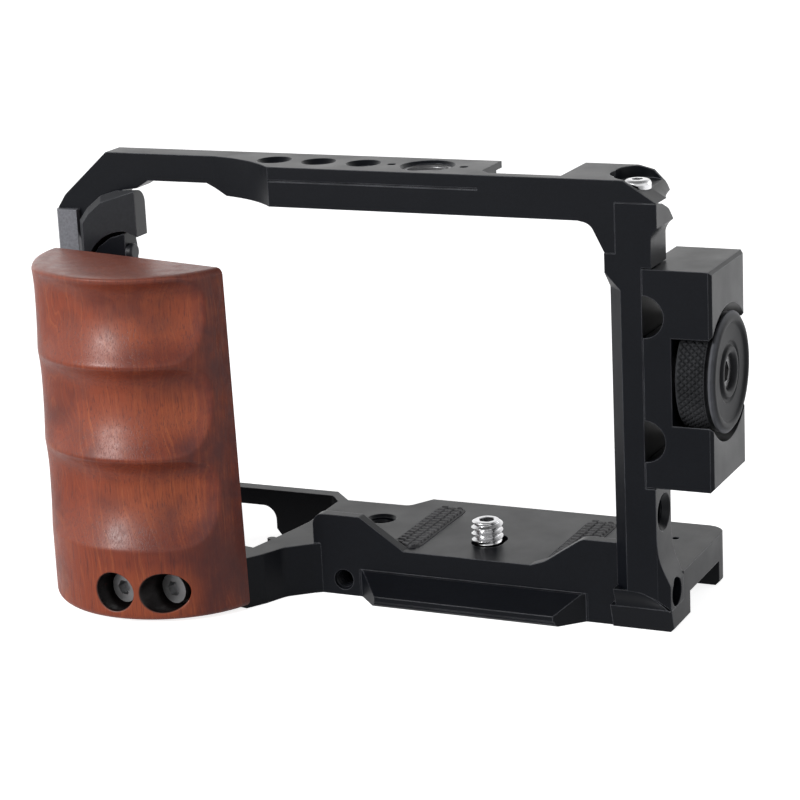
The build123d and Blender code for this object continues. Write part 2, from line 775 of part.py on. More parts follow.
# ================= grip bracket =================
with BuildPart() as grip_bracket:
    # ear inside the lug's arch
    with BuildSketch(Plane.XZ.offset(-lug_front - 1.0)):
        with BuildLine():
            Polyline(
                (ear_left, block_low + 10.5),
                (ear_left, lug_top - 14.7),
                (ear_left + 1.8, lug_top - 12.1),
                (ear_left + 4.6, lug_top - 10.1),
                (ear_right, lug_top - 9.0),
                (ear_right, block_low + 10.5),
                (ear_left, block_low + 10.5),
            )
        make_face()
    extrude(amount=-4.6)
    # block that reaches forward to the back of the wood
    with BuildSketch(Plane.XY.offset(block_low)):
        with BuildLine():
            Polyline(
                block_left,
                block_right,
                (block_right[0], -9.0),
                (ear_right, lug_front + 5.8),
                (ear_left, lug_front + 5.8),
                (block_left[0], -9.0),
                block_left,
            )
        make_face()
    extrude(amount=block_high)
    # counterbored holes for the two wood screws, driven from behind
    for wood_u in wood_screw_u:
        with Locations(grip_axis(wood_u, -3.0, wood_screw_z)):
            Cylinder(1.8, 30.0, mode=Mode.SUBTRACT)
            Cylinder(3.0, 20.0, align=(Align.CENTER, Align.CENTER, Align.MAX), mode=Mode.SUBTRACT)
    # blind hole for the small screw that pins the ear to the lug
    with Locations(Location((ear_right, ear_screw_y, ear_screw_z), (0, 90, 0))):
        Hole(radius=1.0, depth=ear_screw_deep + 0.4)
grip_bracket.part.label = "grip_bracket"

# ================= wooden grip =================
# (share of the height, share of the groove's depth): three finger grooves, soft ridges between
grip_stations = (
    (0.0, 0.25), (0.07, 0.0), (0.18, 0.0), (0.212, 0.12), (0.262, 0.72), (0.34, 1.0),
    (0.424, 0.62), (0.456, 0.2), (0.481, 0.08), (0.532, 0.72), (0.61, 1.0), (0.695, 0.62),
    (0.727, 0.2), (0.751, 0.08), (0.802, 0.72), (0.878, 1.0), (0.956, 0.5), (1.0, 0.35),
)
with BuildPart() as grip_body:
    for share, inset in grip_stations:
        cut = inset * groove_deep
        with BuildSketch(grip_plane.offset(grip_low + share * (grip_high - grip_low))):
            with BuildLine():
                right = grip_half + grip_flare * (1 - 2 * share)
                ThreePointArc((-grip_half, 0), (0, cut - grip_bulge), (right, 0))
                Line((right, 0), (-grip_half, 0))
            make_face()
    loft(ruled=True)
    # counterbored holes for the two bolts
    for bolt_u in grip_hole_u:
        reach = grip_reach(bolt_u)
        with Locations(grip_axis(bolt_u, reach - grip_screw_sink, grip_hole_z)):
            Cylinder(
                grip_hole_r, 12.0, align=(Align.CENTER, Align.CENTER, Align.MIN),
                mode=Mode.SUBTRACT,
            )
            Cylinder(2.1, 60.0, mode=Mode.SUBTRACT)
    # blind holes for the two wood screws
    for wood_u in wood_screw_u:
        with Locations(grip_axis(wood_u, 0, wood_screw_z)):
            Cylinder(1.8, 18.0, mode=Mode.SUBTRACT)
grip_body.part.label = "grip_body"

# ================= grip bolts =================
with BuildPart() as grip_bolts:
    for bolt_u in grip_hole_u:
        reach = grip_reach(bolt_u)
        with Locations(grip_axis(bolt_u, reach - grip_screw_sink, grip_hole_z)):
            Cylinder(grip_bolt_head_r, grip_bolt_head, align=(Align.CENTER, Align.CENTER, Align.MIN))
            Cylinder(
                grip_bolt_r, reach - grip_screw_sink + arm_thick - 1.3,
                align=(Align.CENTER, Align.CENTER, Align.MAX),
            )
        with BuildSketch(grip_axis(bolt_u, reach - grip_screw_sink + grip_bolt_head, grip_hole_z)):
            RegularPolygon(1.6, 6)
        extrude(amount=-1.8, mode=Mode.SUBTRACT)
grip_bolts.part.label = "grip_bolts"

with BuildPart() as wood_screws:
    for wood_u in wood_screw_u:
        with Locations(grip_axis(wood_u, -3.0, wood_screw_z)):
            Cylinder(2.8, 1.8, align=(Align.CENTER, Align.CENTER, Align.MAX))
            Cylinder(1.7, 11.0, align=(Align.CENTER, Align.CENTER, Align.MIN))
wood_screws.part.label = "wood_screws"

with BuildPart() as lug_screw:
    with Locations(Location((ear_right + seam, ear_screw_y, ear_screw_z), (0, 90, 0))):
        Cylinder(1.8, 1.3, align=(Align.CENTER, Align.CENTER, Align.MIN))
    fillet(lug_screw.edges().group_by(Axis.X)[-1], 0.5)
    with Locations(Location((ear_right + seam, ear_screw_y, ear_screw_z), (0, 90, 0))):
        Cylinder(0.9, ear_screw_deep, align=(Align.CENTER, Align.CENTER, Align.MAX))
lug_screw.part.label = "lug_screw"

# ================= rubber pads =================
with BuildPart() as pad_left:
    with BuildSketch(Plane.XY.offset(-pad_sink + seam)):
        with Locations((pad_left_x, pad_y)):
            RectangleRounded(pad_wide, pad_long, 2.3)
    extrude(amount=pad_sink + pad_proud - rib_high - seam)
    with BuildSketch(Plane.XY.offset(pad_proud - rib_high)):
        with Locations((pad_left_x, pad_y)):
            with GridLocations(1, (pad_long - 1.6) / rib_count, 1, rib_count):
                Rectangle(pad_wide - 0.8, 0.95)
            RectangleRounded(pad_wide, pad_long, 2.3, mode=Mode.INTERSECT)
    extrude(amount=rib_high)
pad_left.part.label = "pad_left"

with BuildPart() as pad_right:
    with BuildSketch(Plane.XY.offset(-pad_sink + seam)):
        with Locations((pad_right_x, pad_y)):
            RectangleRounded(pad_wide, pad_long, 2.3)
    extrude(amount=pad_sink + pad_proud - rib_high - seam)
    with BuildSketch(Plane.XY.offset(pad_proud - rib_high)):
        with Locations((pad_right_x, pad_y)):
            with GridLocations(1, (pad_long - 1.6) / rib_count, 1, rib_count):
                Rectangle(pad_wide - 0.8, 0.95)
            RectangleRounded(pad_wide, pad_long, 2.3, mode=Mode.INTERSECT)
    extrude(amount=rib_high)
pad_right.part.label = "pad_right"

# ================= camera screw and its carriage =================
with BuildPart() as screw_carriage:
    with BuildSketch(Plane.XY.offset(carriage_top)) as carriage:
        Rectangle(carriage_wide, carriage_deep)
        fillet(carriage.vertices(), 1.0)
        Circle(screw_neck_r + thread_play, mode=Mode.SUBTRACT)
    extrude(amount=-carriage_thick)
screw_carriage.part.label = "screw_carriage"

with BuildPart() as camera_screw:
    # relieved neck that keeps the screw captive
    with BuildSketch(Plane.XY.offset(head_top)):
        Circle(screw_neck_r)
    extrude(amount=screw_proud - head_top)
    with BuildSketch(Plane.XY):
        Circle(quarter_r)
    extrude(amount=screw_proud)
    chamfer(camera_screw.edges().group_by(Axis.Z)[-1], 0.6)
    # coin-slotted head, just short of the feet
    with BuildSketch(Plane.XY.offset(head_top)):
        Circle(screw_head_r)
    extrude(amount=base_floor + 0.5 - head_top)
    with Locations((0, 0, base_floor + 0.5)):
        Box(20, 1.6, 1.2, align=(Align.CENTER, Align.CENTER, Align.MIN), mode=Mode.SUBTRACT)
    # socket in the tip
    with BuildSketch(Plane.XY.offset(screw_proud)):
        RegularPolygon(1.6, 6)
    extrude(amount=-2.2, mode=Mode.SUBTRACT)
camera_screw.part.label = "camera_screw"

# ================= frame bolts and insert =================
with BuildPart() as corner_bolt:
    with Locations((corner_screw_x, corner_screw_y, scoop_floor + seam)):
        Cylinder(2.6, 1.7, align=(Align.CENTER, Align.CENTER, Align.MIN))
    fillet(corner_bolt.edges().group_by(Axis.Z)[-1], 0.9)
    with Locations((corner_screw_x, corner_screw_y, scoop_floor + seam)):
        Cylinder(1.4, corner_bolt_long, align=(Align.CENTER, Align.CENTER, Align.MAX))
    with BuildSketch(Plane.XY.offset(scoop_floor + seam + 1.7)):
        with Locations((corner_screw_x, corner_screw_y)):
            RegularPolygon(1.1, 6)
    extrude(amount=-1.0, mode=Mode.SUBTRACT)
corner_bolt.part.label = "corner_bolt"

with BuildPart() as foot_bolt:
    bolt_seat = base_right - foot_bolt_sink
    with Locations(Location((bolt_seat + seam, foot_screw_y, foot_screw_z), (0, 90, 0))):
        Cylinder(2.6, 2.9, align=(Align.CENTER, Align.CENTER, Align.MIN))
        Cylinder(1.4, bolt_seat - inner_right - 0.8, align=(Align.CENTER, Align.CENTER, Align.MAX))
    with BuildSketch(Plane.YZ.offset(bolt_seat + seam + 2.9)):
        with Locations((foot_screw_y, foot_screw_z)):
            RegularPolygon(1.25, 6)
    extrude(amount=-1.5, mode=Mode.SUBTRACT)
foot_bolt.part.label = "foot_bolt"

with BuildPart() as post_bolt:
    post_x = post_left + post_wide / 2
    post_y = slim_front + 2.8
    with Locations((post_x, post_y, base_floor + post_bolt_sink - seam)):
        Cylinder(2.7, 2.6, align=(Align.CENTER, Align.CENTER, Align.MAX))
        Cylinder(1.4, post_bolt_long, align=(Align.CENTER, Align.CENTER, Align.MIN))
    with BuildSketch(Plane.XY.offset(base_floor + post_bolt_sink - 2.6 - seam)):
        with Locations((post_x, post_y)):
            RegularPolygon(1.25, 6)
    extrude(amount=1.5, mode=Mode.SUBTRACT)
post_bolt.part.label = "post_bolt"

with BuildPart() as lock_insert:
    with BuildSketch(Plane.XY.offset(head_room + 0.1)):
        with Locations((lock_x, row_y)):
            Circle(insert_r)
            Circle(three_eighth_core_r, mode=Mode.SUBTRACT)
    extrude(amount=cage_top - head_room - 0.8)
lock_insert.part.label = "lock_insert"

# ================= cable clamp =================
with BuildPart() as clamp_block:
    with Locations((clamp_left, clamp_front, clamp_low)):
        Box(
            clamp_right - clamp_left, clamp_rear - clamp_front, clamp_high - clamp_low,
            align=(Align.MIN, Align.MIN, Align.MIN),
        )
    chamfer(clamp_block.edges().group_by(Axis.X)[-1], 0.6)
    # half-round cable notches, front to back
    with BuildSketch(Plane.XZ.offset(-clamp_front + 1)):
        with Locations((clamp_left, notch_z + notch_offset), (clamp_left, notch_z - notch_offset)):
            Circle(notch_r)
    extrude(amount=-(clamp_rear - clamp_front + 2), mode=Mode.SUBTRACT)
    # round well for the knob, open at the front and the back
    with Locations(Location((well_floor, knob_y, knob_z), (0, 90, 0))):
        Cylinder(
            knob_well_r, 20.0, align=(Align.CENTER, Align.CENTER, Align.MIN),
            mode=Mode.SUBTRACT,
        )
        Cylinder(stud_r + thread_play, 60.0, mode=Mode.SUBTRACT)
clamp_block.part.label = "clamp_block"

with BuildPart() as knob_washer:
    with BuildSketch(Plane.YZ.offset(well_floor + seam)):
        with Locations((knob_y, knob_z)):
            Circle(6.5)
            Circle(stud_r + 0.3, mode=Mode.SUBTRACT)
    extrude(amount=knob_inner - well_floor - seam - slide_play)
knob_washer.part.label = "knob_washer"

with BuildPart() as clamp_knob:
    # turned profile: knurled band, rounded flange, dished face, central ring
    with BuildSketch(Plane(
        origin=(0, knob_y, knob_z), x_dir=(1, 0, 0), z_dir=(0, -1, 0)
    )) as knob_profile:
        with BuildLine():
            Polyline(
                (knob_inner, stud_r),
                (knob_inner, knurl_r - 0.5),
                (knob_inner + 0.5, knurl_r),
                (flange_inner - 0.1, knurl_r),
                (flange_inner, knurl_r - 0.7),
                (flange_inner + 0.4, knurl_r - 0.7),
                (flange_inner + 0.6, knob_r - 0.3),
                (flange_inner + 0.9, knob_r),
                (knob_outer - 0.5, knob_r),
                (knob_outer, knob_r - 0.7),
                (knob_outer, knob_r - 1.8),
                (knob_outer - 0.6, knob_r - 2.3),
                (knob_outer - 0.6, 5.9),
                (knob_outer - 0.9, 5.6),
                (knob_outer - 0.9, 5.2),
                (knob_outer - 0.3, 4.7),
                (knob_outer - 0.3, 3.8),
                (knob_outer - 0.8, socket_r),
                (knob_outer - 4.2, socket_r),
                (knob_outer - 4.2, stud_r),
                (knob_inner, stud_r),
            )
        make_face()
    revolve(axis=Axis((0, knob_y, knob_z), (1, 0, 0)))
clamp_knob.part.label = "clamp_knob"

with BuildPart() as clamp_stud:
    stud_seat = knob_outer - 4.2
    with Locations(Location((stud_seat, knob_y, knob_z), (0, 90, 0))):
        Cylinder(socket_r, 2.8, align=(Align.CENTER, Align.CENTER, Align.MIN))
        Cylinder(stud_r, stud_seat - inner_right - 0.6, align=(Align.CENTER, Align.CENTER, Align.MAX))
    with BuildSketch(Plane.YZ.offset(stud_seat + 2.8)):
        with Locations((knob_y, knob_z)):
            RegularPolygon(2.1, 6)
    extrude(amount=-2.2, mode=Mode.SUBTRACT)
clamp_stud.part.label = "clamp_stud"

# ================= export =================
os.makedirs("parts", exist_ok=True)
for built in (
    base_plate, right_upright, top_bar, left_post, shoulder_lug, grip_bracket, grip_body,
    grip_bolts, wood_screws, lug_screw, pad_left, pad_right, screw_carriage,
    camera_screw, corner_bolt, foot_bolt, post_bolt, lock_insert, clamp_block, knob_washer,
    clamp_knob, clamp_stud,
):
    export_step(built.part, f"parts/{built.part.label}.step")
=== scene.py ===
"""Looks for a camera cage: carved wooden grip, knurled thumb knob, threads, pads and finishes."""
import json
import math

import bmesh
import bpy
import numpy as np
from mathutils import Matrix, Vector


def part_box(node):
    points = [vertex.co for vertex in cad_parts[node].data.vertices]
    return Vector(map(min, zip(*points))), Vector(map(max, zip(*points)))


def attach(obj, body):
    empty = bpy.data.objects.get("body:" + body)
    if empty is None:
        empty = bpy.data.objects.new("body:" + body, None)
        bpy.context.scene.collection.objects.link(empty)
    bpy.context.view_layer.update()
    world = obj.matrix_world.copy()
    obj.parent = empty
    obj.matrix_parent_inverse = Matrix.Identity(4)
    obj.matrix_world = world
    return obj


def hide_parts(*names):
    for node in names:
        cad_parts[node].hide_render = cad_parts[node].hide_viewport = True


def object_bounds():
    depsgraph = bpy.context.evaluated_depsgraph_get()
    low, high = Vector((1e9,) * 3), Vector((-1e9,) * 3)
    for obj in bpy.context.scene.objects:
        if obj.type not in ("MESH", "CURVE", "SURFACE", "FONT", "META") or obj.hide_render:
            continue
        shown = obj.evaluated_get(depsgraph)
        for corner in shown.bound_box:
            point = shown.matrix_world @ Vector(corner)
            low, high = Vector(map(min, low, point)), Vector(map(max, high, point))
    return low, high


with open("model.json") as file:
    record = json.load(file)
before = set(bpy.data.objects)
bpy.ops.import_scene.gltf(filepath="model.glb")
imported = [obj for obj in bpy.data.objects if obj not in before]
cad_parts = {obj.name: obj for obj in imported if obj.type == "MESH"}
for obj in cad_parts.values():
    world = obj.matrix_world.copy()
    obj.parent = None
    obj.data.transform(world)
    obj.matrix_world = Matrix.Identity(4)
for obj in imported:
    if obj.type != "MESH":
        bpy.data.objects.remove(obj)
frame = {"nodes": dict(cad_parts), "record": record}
cad_low, cad_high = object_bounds()

bl_info = {
    "name": "Camera Cage Looks",
    "version": (1, 0, 0),
    "blender": (4, 5, 0),
    "location": "View3D > Sidebar > Camera Cage",
    "description": "Finishes and detailed pieces for a camera cage with a wooden hand grip",
    "category": "Object",
}

MM = 0.001
TURN = 2 * math.pi
PICTURE_WIDTH = 800         # width of the rendered picture, in pixels
FOCAL_PIXELS = 2621         # focal length in those pixels
SENSOR_MM = 36

# Thread pitch for each bore radius, in millimetres.
PITCH_FOR_RADIUS = {2.6: 1.27, 4.0: 1.5875, 2.1: 1.0}

# Nodes of the frame that take each finish.
FINISH_NODES = {
    "black_anodised": ("base_plate", "right_upright", "top_bar", "clamp_block", "grip_bracket"),
    # The left post has a lighter base tone than the rest of the frame, and the lug one between the
    # two
    "grey_anodised": ("left_post",),
    "lug_tone_anodised": ("shoulder_lug", "lug_screw"),
    "steel": ("corner_bolt",),
    "dark_steel": (
        "grip_bolts", "clamp_stud", "lock_insert", "wood_screws", "foot_bolt", "post_bolt",
        "knob_washer", "screw_carriage",
    ),
}


def real(name, default, description, **more):
    """A real number, with anything more that the sidebar needs."""
    return bpy.props.FloatProperty(name=name, description=description, default=default, **more)


def length(name, default, description):
    """A length in metres that the sidebar shows in the scene's unit."""
    return real(name, default, description, unit="LENGTH", precision=5, step=0.01)


def colour(name, default, description):
    """A linear colour with a picker."""
    return bpy.props.FloatVectorProperty(
        name=name, description=description, default=default, size=3, subtype="COLOR", min=0, max=1
    )


def number(name, default, description, high):
    """A plain number from nought to a limit."""
    return real(name, default, description, min=0, max=high)


def count(name, default, description, low, high):
    """A whole number between two limits."""
    return bpy.props.IntProperty(
        name=name, description=description, default=default, min=low, max=high
    )


def angle(name, degrees, description):
    """An angle, given here in degrees."""
    return real(name, math.radians(degrees), description, subtype="ANGLE")


def power(name, default, description):
    """A lamp's power in watts."""
    return real(name, default, description, min=0, unit="POWER")


def spot(name, default, description):
    """A place in the scene."""
    return bpy.props.FloatVectorProperty(
        name=name, description=description, default=default, size=3, subtype="TRANSLATION"
    )


class CageFinishSettings(bpy.types.PropertyGroup):
    """Colours of the frame, the steel and the rubber."""

    black_colour: colour("Black", (0.0030, 0.0038, 0.0060), "Black anodised frame")
    # A lighter base tone for the left post
    post_tone_colour: colour("Grey", (0.160, 0.163, 0.180), "Grey anodised post")
    # A base tone for the lug, between the frame's black and the post's grey
    lug_tone_colour: colour("Lug", (0.012, 0.013, 0.016), "Dark grey anodised lug")
    # Painted highlight and wear: this colour lightens the frame's edges, partly for wear and partly
    # as a painted highlight where the edges catch the light, and lightens the knob's rim as a painted
    # highlight
    worn_and_lit_colour: colour("Worn edge", (0.150, 0.155, 0.172), "Frame colour where its edges are rubbed")
    knob_colour: colour("Knob", (0.0270, 0.0278, 0.0300), "Turned knob")
    steel_colour: colour("Steel", (0.52, 0.52, 0.53), "Bright stainless screws")
    dark_steel_colour: colour("Blackened steel", (0.260, 0.260, 0.265), "Blackened screws")
    rubber_colour: colour("Rubber", (0.016, 0.016, 0.018), "Pads on the seat")
    edge_radius: length("Edge radius", 0.00028, "How far the frame's edges are broken")


class CageGripSettings(bpy.types.PropertyGroup):
    """Sizes and wood of the hand grip."""

    half_width: length("Half width", 0.0229, "Half the width of the flat back")
    bulge: length("Bulge", 0.0196, "Flat back to the front of the round")
    middle_x: length("Middle X", -0.0648, "Middle of the flat back")
    middle_y: length("Middle Y", -0.0189, "Middle of the flat back")
    turn: angle("Turn", -11.8, "Turn about the vertical")
    flare: length("Flare", 0.0008, "Right edge further out at the foot and in at the top")
    groove_depth: length("Groove depth", 0.0036, "Depth of the finger grooves")
    deepest: number("Deepest", 0.66, "Deepest place, as a share of the way up to the next ridge", 1)
    bowl_start: angle("Bowl start", 34, "Where the grooves' right ends start to close")
    bowl_end: angle("Bowl end", 70, "Where the grooves' right ends are closed")
    fade_start: angle("Fade start", -46, "Where the grooves' left ends have run out")
    fade_end: angle("Fade end", -6, "Where the grooves reach their full depth")
    left_share: number("Left share", 0.10, "Depth that is left at the grooves' left ends", 1)
    crest_low: length("Low ridge", 0.0045, "Height of the lowest ridge")
    crest_middle: length("Middle ridge", 0.0230, "Height of the middle ridge")
    crest_high: length("High ridge", 0.0415, "Height of the highest ridge")
    hole_radius: length("Hole radius", 0.00395, "Radius of the counterbores")
    hole_height: length("Hole height", -0.004, "Height of the counterbores' middles")
    hole_left: length("Left hole", 0.0050, "Left counterbore, along the flat back")
    hole_right: length("Right hole", 0.0142, "Right counterbore, along the flat back")
    hole_sink: length("Hole depth", 0.0062, "Depth of the counterbores' floors")
    edge_round: length("Top edge", 0.0014, "Radius of the top and bottom edges")
    light_colour: colour("Light grain", (0.390, 0.100, 0.032), "Pale figure in the wood")
    middle_colour: colour("Mid grain", (0.222, 0.0385, 0.0140), "Main colour of the wood")
    dark_colour: colour("Dark grain", (0.075, 0.0130, 0.0095), "Dark lines in the wood")
    # Painted shade on the grip's right edge, which faces away from the key light
    right_shade_colour: colour("Edge stain", (0.070, 0.0125, 0.0110), "Dark right edge")
    # Painted highlight on the grip's top and its rounded front top edge
    top_light_colour: colour("Top", (0.30, 0.115, 0.085), "Paler top")
    hole_shade_colour: colour("Holes", (0.006, 0.004, 0.004), "Shade in the counterbores")


class CageKnobSettings(bpy.types.PropertyGroup):
    """Knurl of the thumb knob."""

    knurls: count("Knurls", 54, "Diamonds round the knob", 12, 120)
    knurl_pitch: length("Knurl pitch", 0.00145, "Length of a diamond along the axis")
    knurl_depth: length("Knurl depth", 0.00042, "Depth of the knurl")


class CageScrewSettings(bpy.types.PropertyGroup):
    """Thread of the camera screw and of the tapped holes."""

    pitch: length("Pitch", 0.00127, "Pitch of the camera screw")
    depth: length("Depth", 0.00062, "Depth of the camera screw's thread")
    lining_depth: length("Hole thread", 0.0004, "How far a tapped hole's thread stands in")


class CagePadSettings(bpy.types.PropertyGroup):
    """Pattern on the rubber pads."""

    rib_pitch: length("Rib pitch", 0.00165, "Rib to rib along the pad")
    rib_height: length("Rib height", 0.00045, "Height of the ribs")
    columns: count("Columns", 3, "Staggered columns of ribs", 1, 6)


class CageTrimSettings(bpy.types.PropertyGroup):
    """Small forms that finish the foot and the bracket's ear."""

    foot_left: length("Foot left", 0.0313, "Left end of the web under the upright")
    foot_level: length("Foot level", 0.0340, "Where the upright's lower edge starts to fall")
    foot_right: length("Foot right", 0.0425, "Right end of the web")
    foot_high: length("Foot top", -0.0019, "Level part of the upright's lower edge")
    foot_low: length("Foot bottom", -0.0056, "Top of the base plate's foot")
    foot_lean: length("Foot lean", 0.0011, "From the upright's face back to the base plate's")
    foot_back: length("Foot back", -0.0104, "Front wall of the base plate")
    ear_middle: length("Ear middle", -0.0778, "Middle of the ear")
    ear_half: length("Ear half width", 0.0044, "Half the width of the ear's plate")
    ear_low: length("Ear bottom", 0.0520, "Bottom of the ear's plate")
    ear_high: length("Ear top", 0.0628, "Top of the ear's plate")


class CageStageSettings(bpy.types.PropertyGroup):
    """Floor, light and camera."""

    floor_colour: colour("Floor", (0.80, 0.80, 0.81), "Floor under the cage")
    floor_glow: number("Floor glow", 0.85, "Extra white on the floor", 2)
    pool_start: length("Pool start", -0.06, "Where the floor's mirrored light starts to grow")
    pool_end: length("Pool end", 0.16, "Where the floor's mirrored light is full")
    room_strength: number("Room", 0.27, "Soft light from all round", 3)
    key_power: power("Key light", 6.3, "Soft box in front at the left")
    key_place: spot("Key place", (-0.42, -0.74, 0.44), "Where the key light stands")
    key_size: length("Key size", 0.32, "Side of the key light")
    fill_power: power("Fill light", 2.4, "Soft box behind at the right")
    fill_place: spot("Fill place", (0.62, 0.66, 0.20), "Where the fill light stands")
    fill_size: length("Fill size", 0.6, "Side of the fill light")
    azimuth: angle("Azimuth", 25.12, "Camera round the cage")
    elevation: angle("Elevation", 15.55, "Camera above the floor")
    roll: angle("Roll", -2.73, "Camera turned about its own axis")
    place: spot("Camera", (0.1955, -0.4549, 0.1679), "Where the camera stands")


# ---------------------------------------------------------------- surfaces


def steps(marks, counts):
    """Values that run through the marks in order, each span cut into equal parts by its count."""
    spans = [np.linspace(a, b, n + 1)[:-1] for a, b, n in zip(marks[:-1], marks[1:], counts)]
    return np.concatenate(spans + [np.array([marks[-1]], float)])


def grid_faces(rows, columns, wrap=False):
    """Quads over points numbered row by row; wrap joins the last column to the first."""
    row = np.arange(rows - 1)[:, None]
    column = np.arange(columns if wrap else columns - 1)[None, :]
    after = (column + 1) % columns
    corners = [row * columns + column, row * columns + after]
    corners += [(row + 1) * columns + after, (row + 1) * columns + column]
    return np.stack(corners, axis=-1).reshape(-1, 4)


def grid_patch(x, y, z, wrap=False):
    """A patch from x, y and z, which are 2-D arrays or numbers that stretch to match each other."""
    points = np.stack(np.broadcast_arrays(x, y, z), axis=-1)
    return points.reshape(-1, 3), grid_faces(points.shape[0], points.shape[1], wrap)


def turned(radius, height, turn):
    """A patch turned about the vertical, from its radius and height at each angle."""
    return grid_patch(radius * np.cos(turn), radius * np.sin(turn), height, wrap=True)


def between(first, last, rows):
    """Rows of values that run evenly from the first to the last."""
    share = np.linspace(0, 1, rows)[:, None]
    return first * (1 - share) + last * share


def border(grid):
    """The outer values of a grid, once round."""
    return np.concatenate([grid[0, :-1], grid[:-1, -1], grid[-1, :0:-1], grid[:0:-1, 0]])


def slab_patches(top, bottom):
    """Two grids of coordinates, and the strips that join them along their four edges."""
    top, bottom = np.broadcast_arrays(*top), np.broadcast_arrays(*bottom)
    patches = [grid_patch(*top), grid_patch(*bottom)]
    for edge in ((slice(None), 0), (slice(None), -1), (0, slice(None)), (-1, slice(None))):
        patches.append(grid_patch(*(between(a[edge], b[edge], 4) for a, b in zip(top, bottom))))
    return patches


def new_object(name, data):
    """An object with the data, in the scene."""
    holder = bpy.data.objects.new(name, data)
    bpy.context.scene.collection.objects.link(holder)
    return holder


def build_piece(name, patches, finish, body, sharp=35, merge=1e-6):
    """Joins the patches into one closed mesh that faces outwards and rides on a body."""
    points, faces, used = [], [], 0
    for patch_points, patch_faces in patches:
        points.append(patch_points)
        faces.append(patch_faces + used)
        used += len(patch_points)
    mesh = bpy.data.meshes.new(name)
    mesh.from_pydata(np.concatenate(points), [], np.concatenate(faces).tolist())
    work = bmesh.new()
    work.from_mesh(mesh)
    bmesh.ops.remove_doubles(work, verts=work.verts, dist=merge)
    bmesh.ops.dissolve_degenerate(work, edges=work.edges, dist=merge)
    bmesh.ops.recalc_face_normals(work, faces=work.faces)
    work.to_mesh(mesh)
    work.free()
    mesh.polygons.foreach_set("use_smooth", np.ones(len(mesh.polygons), bool))
    mesh.set_sharp_from_angle(angle=math.radians(sharp))
    piece = new_object(name, mesh)
    mesh.materials.append(finish)
    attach(piece, body)
    return piece


def rounded_profile(corners, radius, cuts=3):
    """The corners joined by straight lines, each inner corner swapped for a curve.

    The curve is a quadratic from a point before the corner to one after it, pulled to the corner,
    and it starts no further off than 45% of the shorter side.
    """
    corners = np.array(corners, float)
    before, middle, after = corners[:-2], corners[1:-1], corners[2:]
    to_before = before - middle
    to_after = after - middle
    side_before = np.linalg.norm(to_before, axis=1, keepdims=True)
    side_after = np.linalg.norm(to_after, axis=1, keepdims=True)
    reach = np.minimum(radius, 0.45 * np.minimum(side_before, side_after))
    start = (middle + to_before / side_before * reach)[:, None, :]
    end = (middle + to_after / side_after * reach)[:, None, :]
    t = np.linspace(0, 1, cuts + 1)[None, :, None]
    curve = start * (1 - t) ** 2 + middle[:, None, :] * 2 * t * (1 - t) + end * t**2
    return np.vstack([corners[:1], curve.reshape(-1, 2), corners[-1:]])


# ---------------------------------------------------------------- materials


def add_node(tree, kind, inputs=None, **attributes):
    """Adds a node, then sets each input to a value or links it to a socket."""
    node = tree.nodes.new(kind)
    for key, value in attributes.items():
        setattr(node, key, value)
    for key, value in (inputs or {}).items():
        if isinstance(value, bpy.types.NodeSocket):
            tree.links.new(value, node.inputs[key])
        else:
            node.inputs[key].default_value = value
    return node


def new_finish(name):
    """An empty material with a shader and an output, and its Object coordinates."""
    finish = bpy.data.materials.new(name)
    finish.use_nodes = True
    tree = finish.node_tree
    tree.nodes.clear()
    shader = add_node(tree, "ShaderNodeBsdfPrincipled")
    add_node(tree, "ShaderNodeOutputMaterial", {"Surface": shader.outputs[0]})
    place = add_node(tree, "ShaderNodeTexCoord").outputs["Object"]
    return finish, tree, shader, place


def calculate(tree, operation, first, second=0.0, third=0.0):
    """One step of arithmetic on sockets or numbers."""
    inputs = {0: first, 1: second, 2: third}
    return add_node(tree, "ShaderNodeMath", inputs, operation=operation).outputs[0]


def product(tree, first, *others):
    """Sockets or numbers multiplied together."""
    for other in others:
        first = calculate(tree, "MULTIPLY", first, other)
    return first


def split(tree, place):
    """The X, Y and Z of a place."""
    return add_node(tree, "ShaderNodeSeparateXYZ", {"Vector": place}).outputs


def scaled(tree, tone, factor):
    """A colour times a factor."""
    inputs = {0: tone, "Scale": factor}
    return add_node(tree, "ShaderNodeVectorMath", inputs, operation="SCALE").outputs[0]


def distance(tree, place):
    """How far a place is from the origin."""
    node = add_node(tree, "ShaderNodeVectorMath", {0: place}, operation="LENGTH")
    return node.outputs["Value"]


def dress(tree, shader, tone, roughness, bump, specular=0.5):
    """Links a colour, a roughness and a bump's inputs to a shader, and sets its mirror strength."""
    shader.inputs["Specular IOR Level"].default_value = specular
    tree.links.new(tone, shader.inputs["Base Color"])
    tree.links.new(roughness, shader.inputs["Roughness"])
    tree.links.new(add_node(tree, "ShaderNodeBump", bump).outputs[0], shader.inputs["Normal"])


def noise(tree, place, scale, detail=2.0, roughness=0.5):
    """Noise of the given number of lumps to the metre."""
    inputs = {"Vector": place, "Scale": scale, "Detail": detail, "Roughness": roughness}
    return add_node(tree, "ShaderNodeTexNoise", inputs).outputs["Fac"]


def stretch(tree, place, scale, origin=(0, 0, 0), turn=0.0):
    """Coordinates about an origin, turned back by an angle and scaled along each axis."""
    inputs = {"Vector": place, "Location": origin, "Rotation": (0, 0, turn)}
    local = add_node(tree, "ShaderNodeMapping", inputs, vector_type="TEXTURE").outputs[0]
    return add_node(tree, "ShaderNodeMapping", {"Vector": local, "Scale": scale}).outputs[0]


def spread(tree, value, low, high, bottom=0.0, top=1.0):
    """Maps low to high onto bottom to top, held at both ends."""
    inputs = {"Value": value, "From Min": low, "From Max": high, "To Min": bottom, "To Max": top}
    return add_node(tree, "ShaderNodeMapRange", inputs).outputs[0]


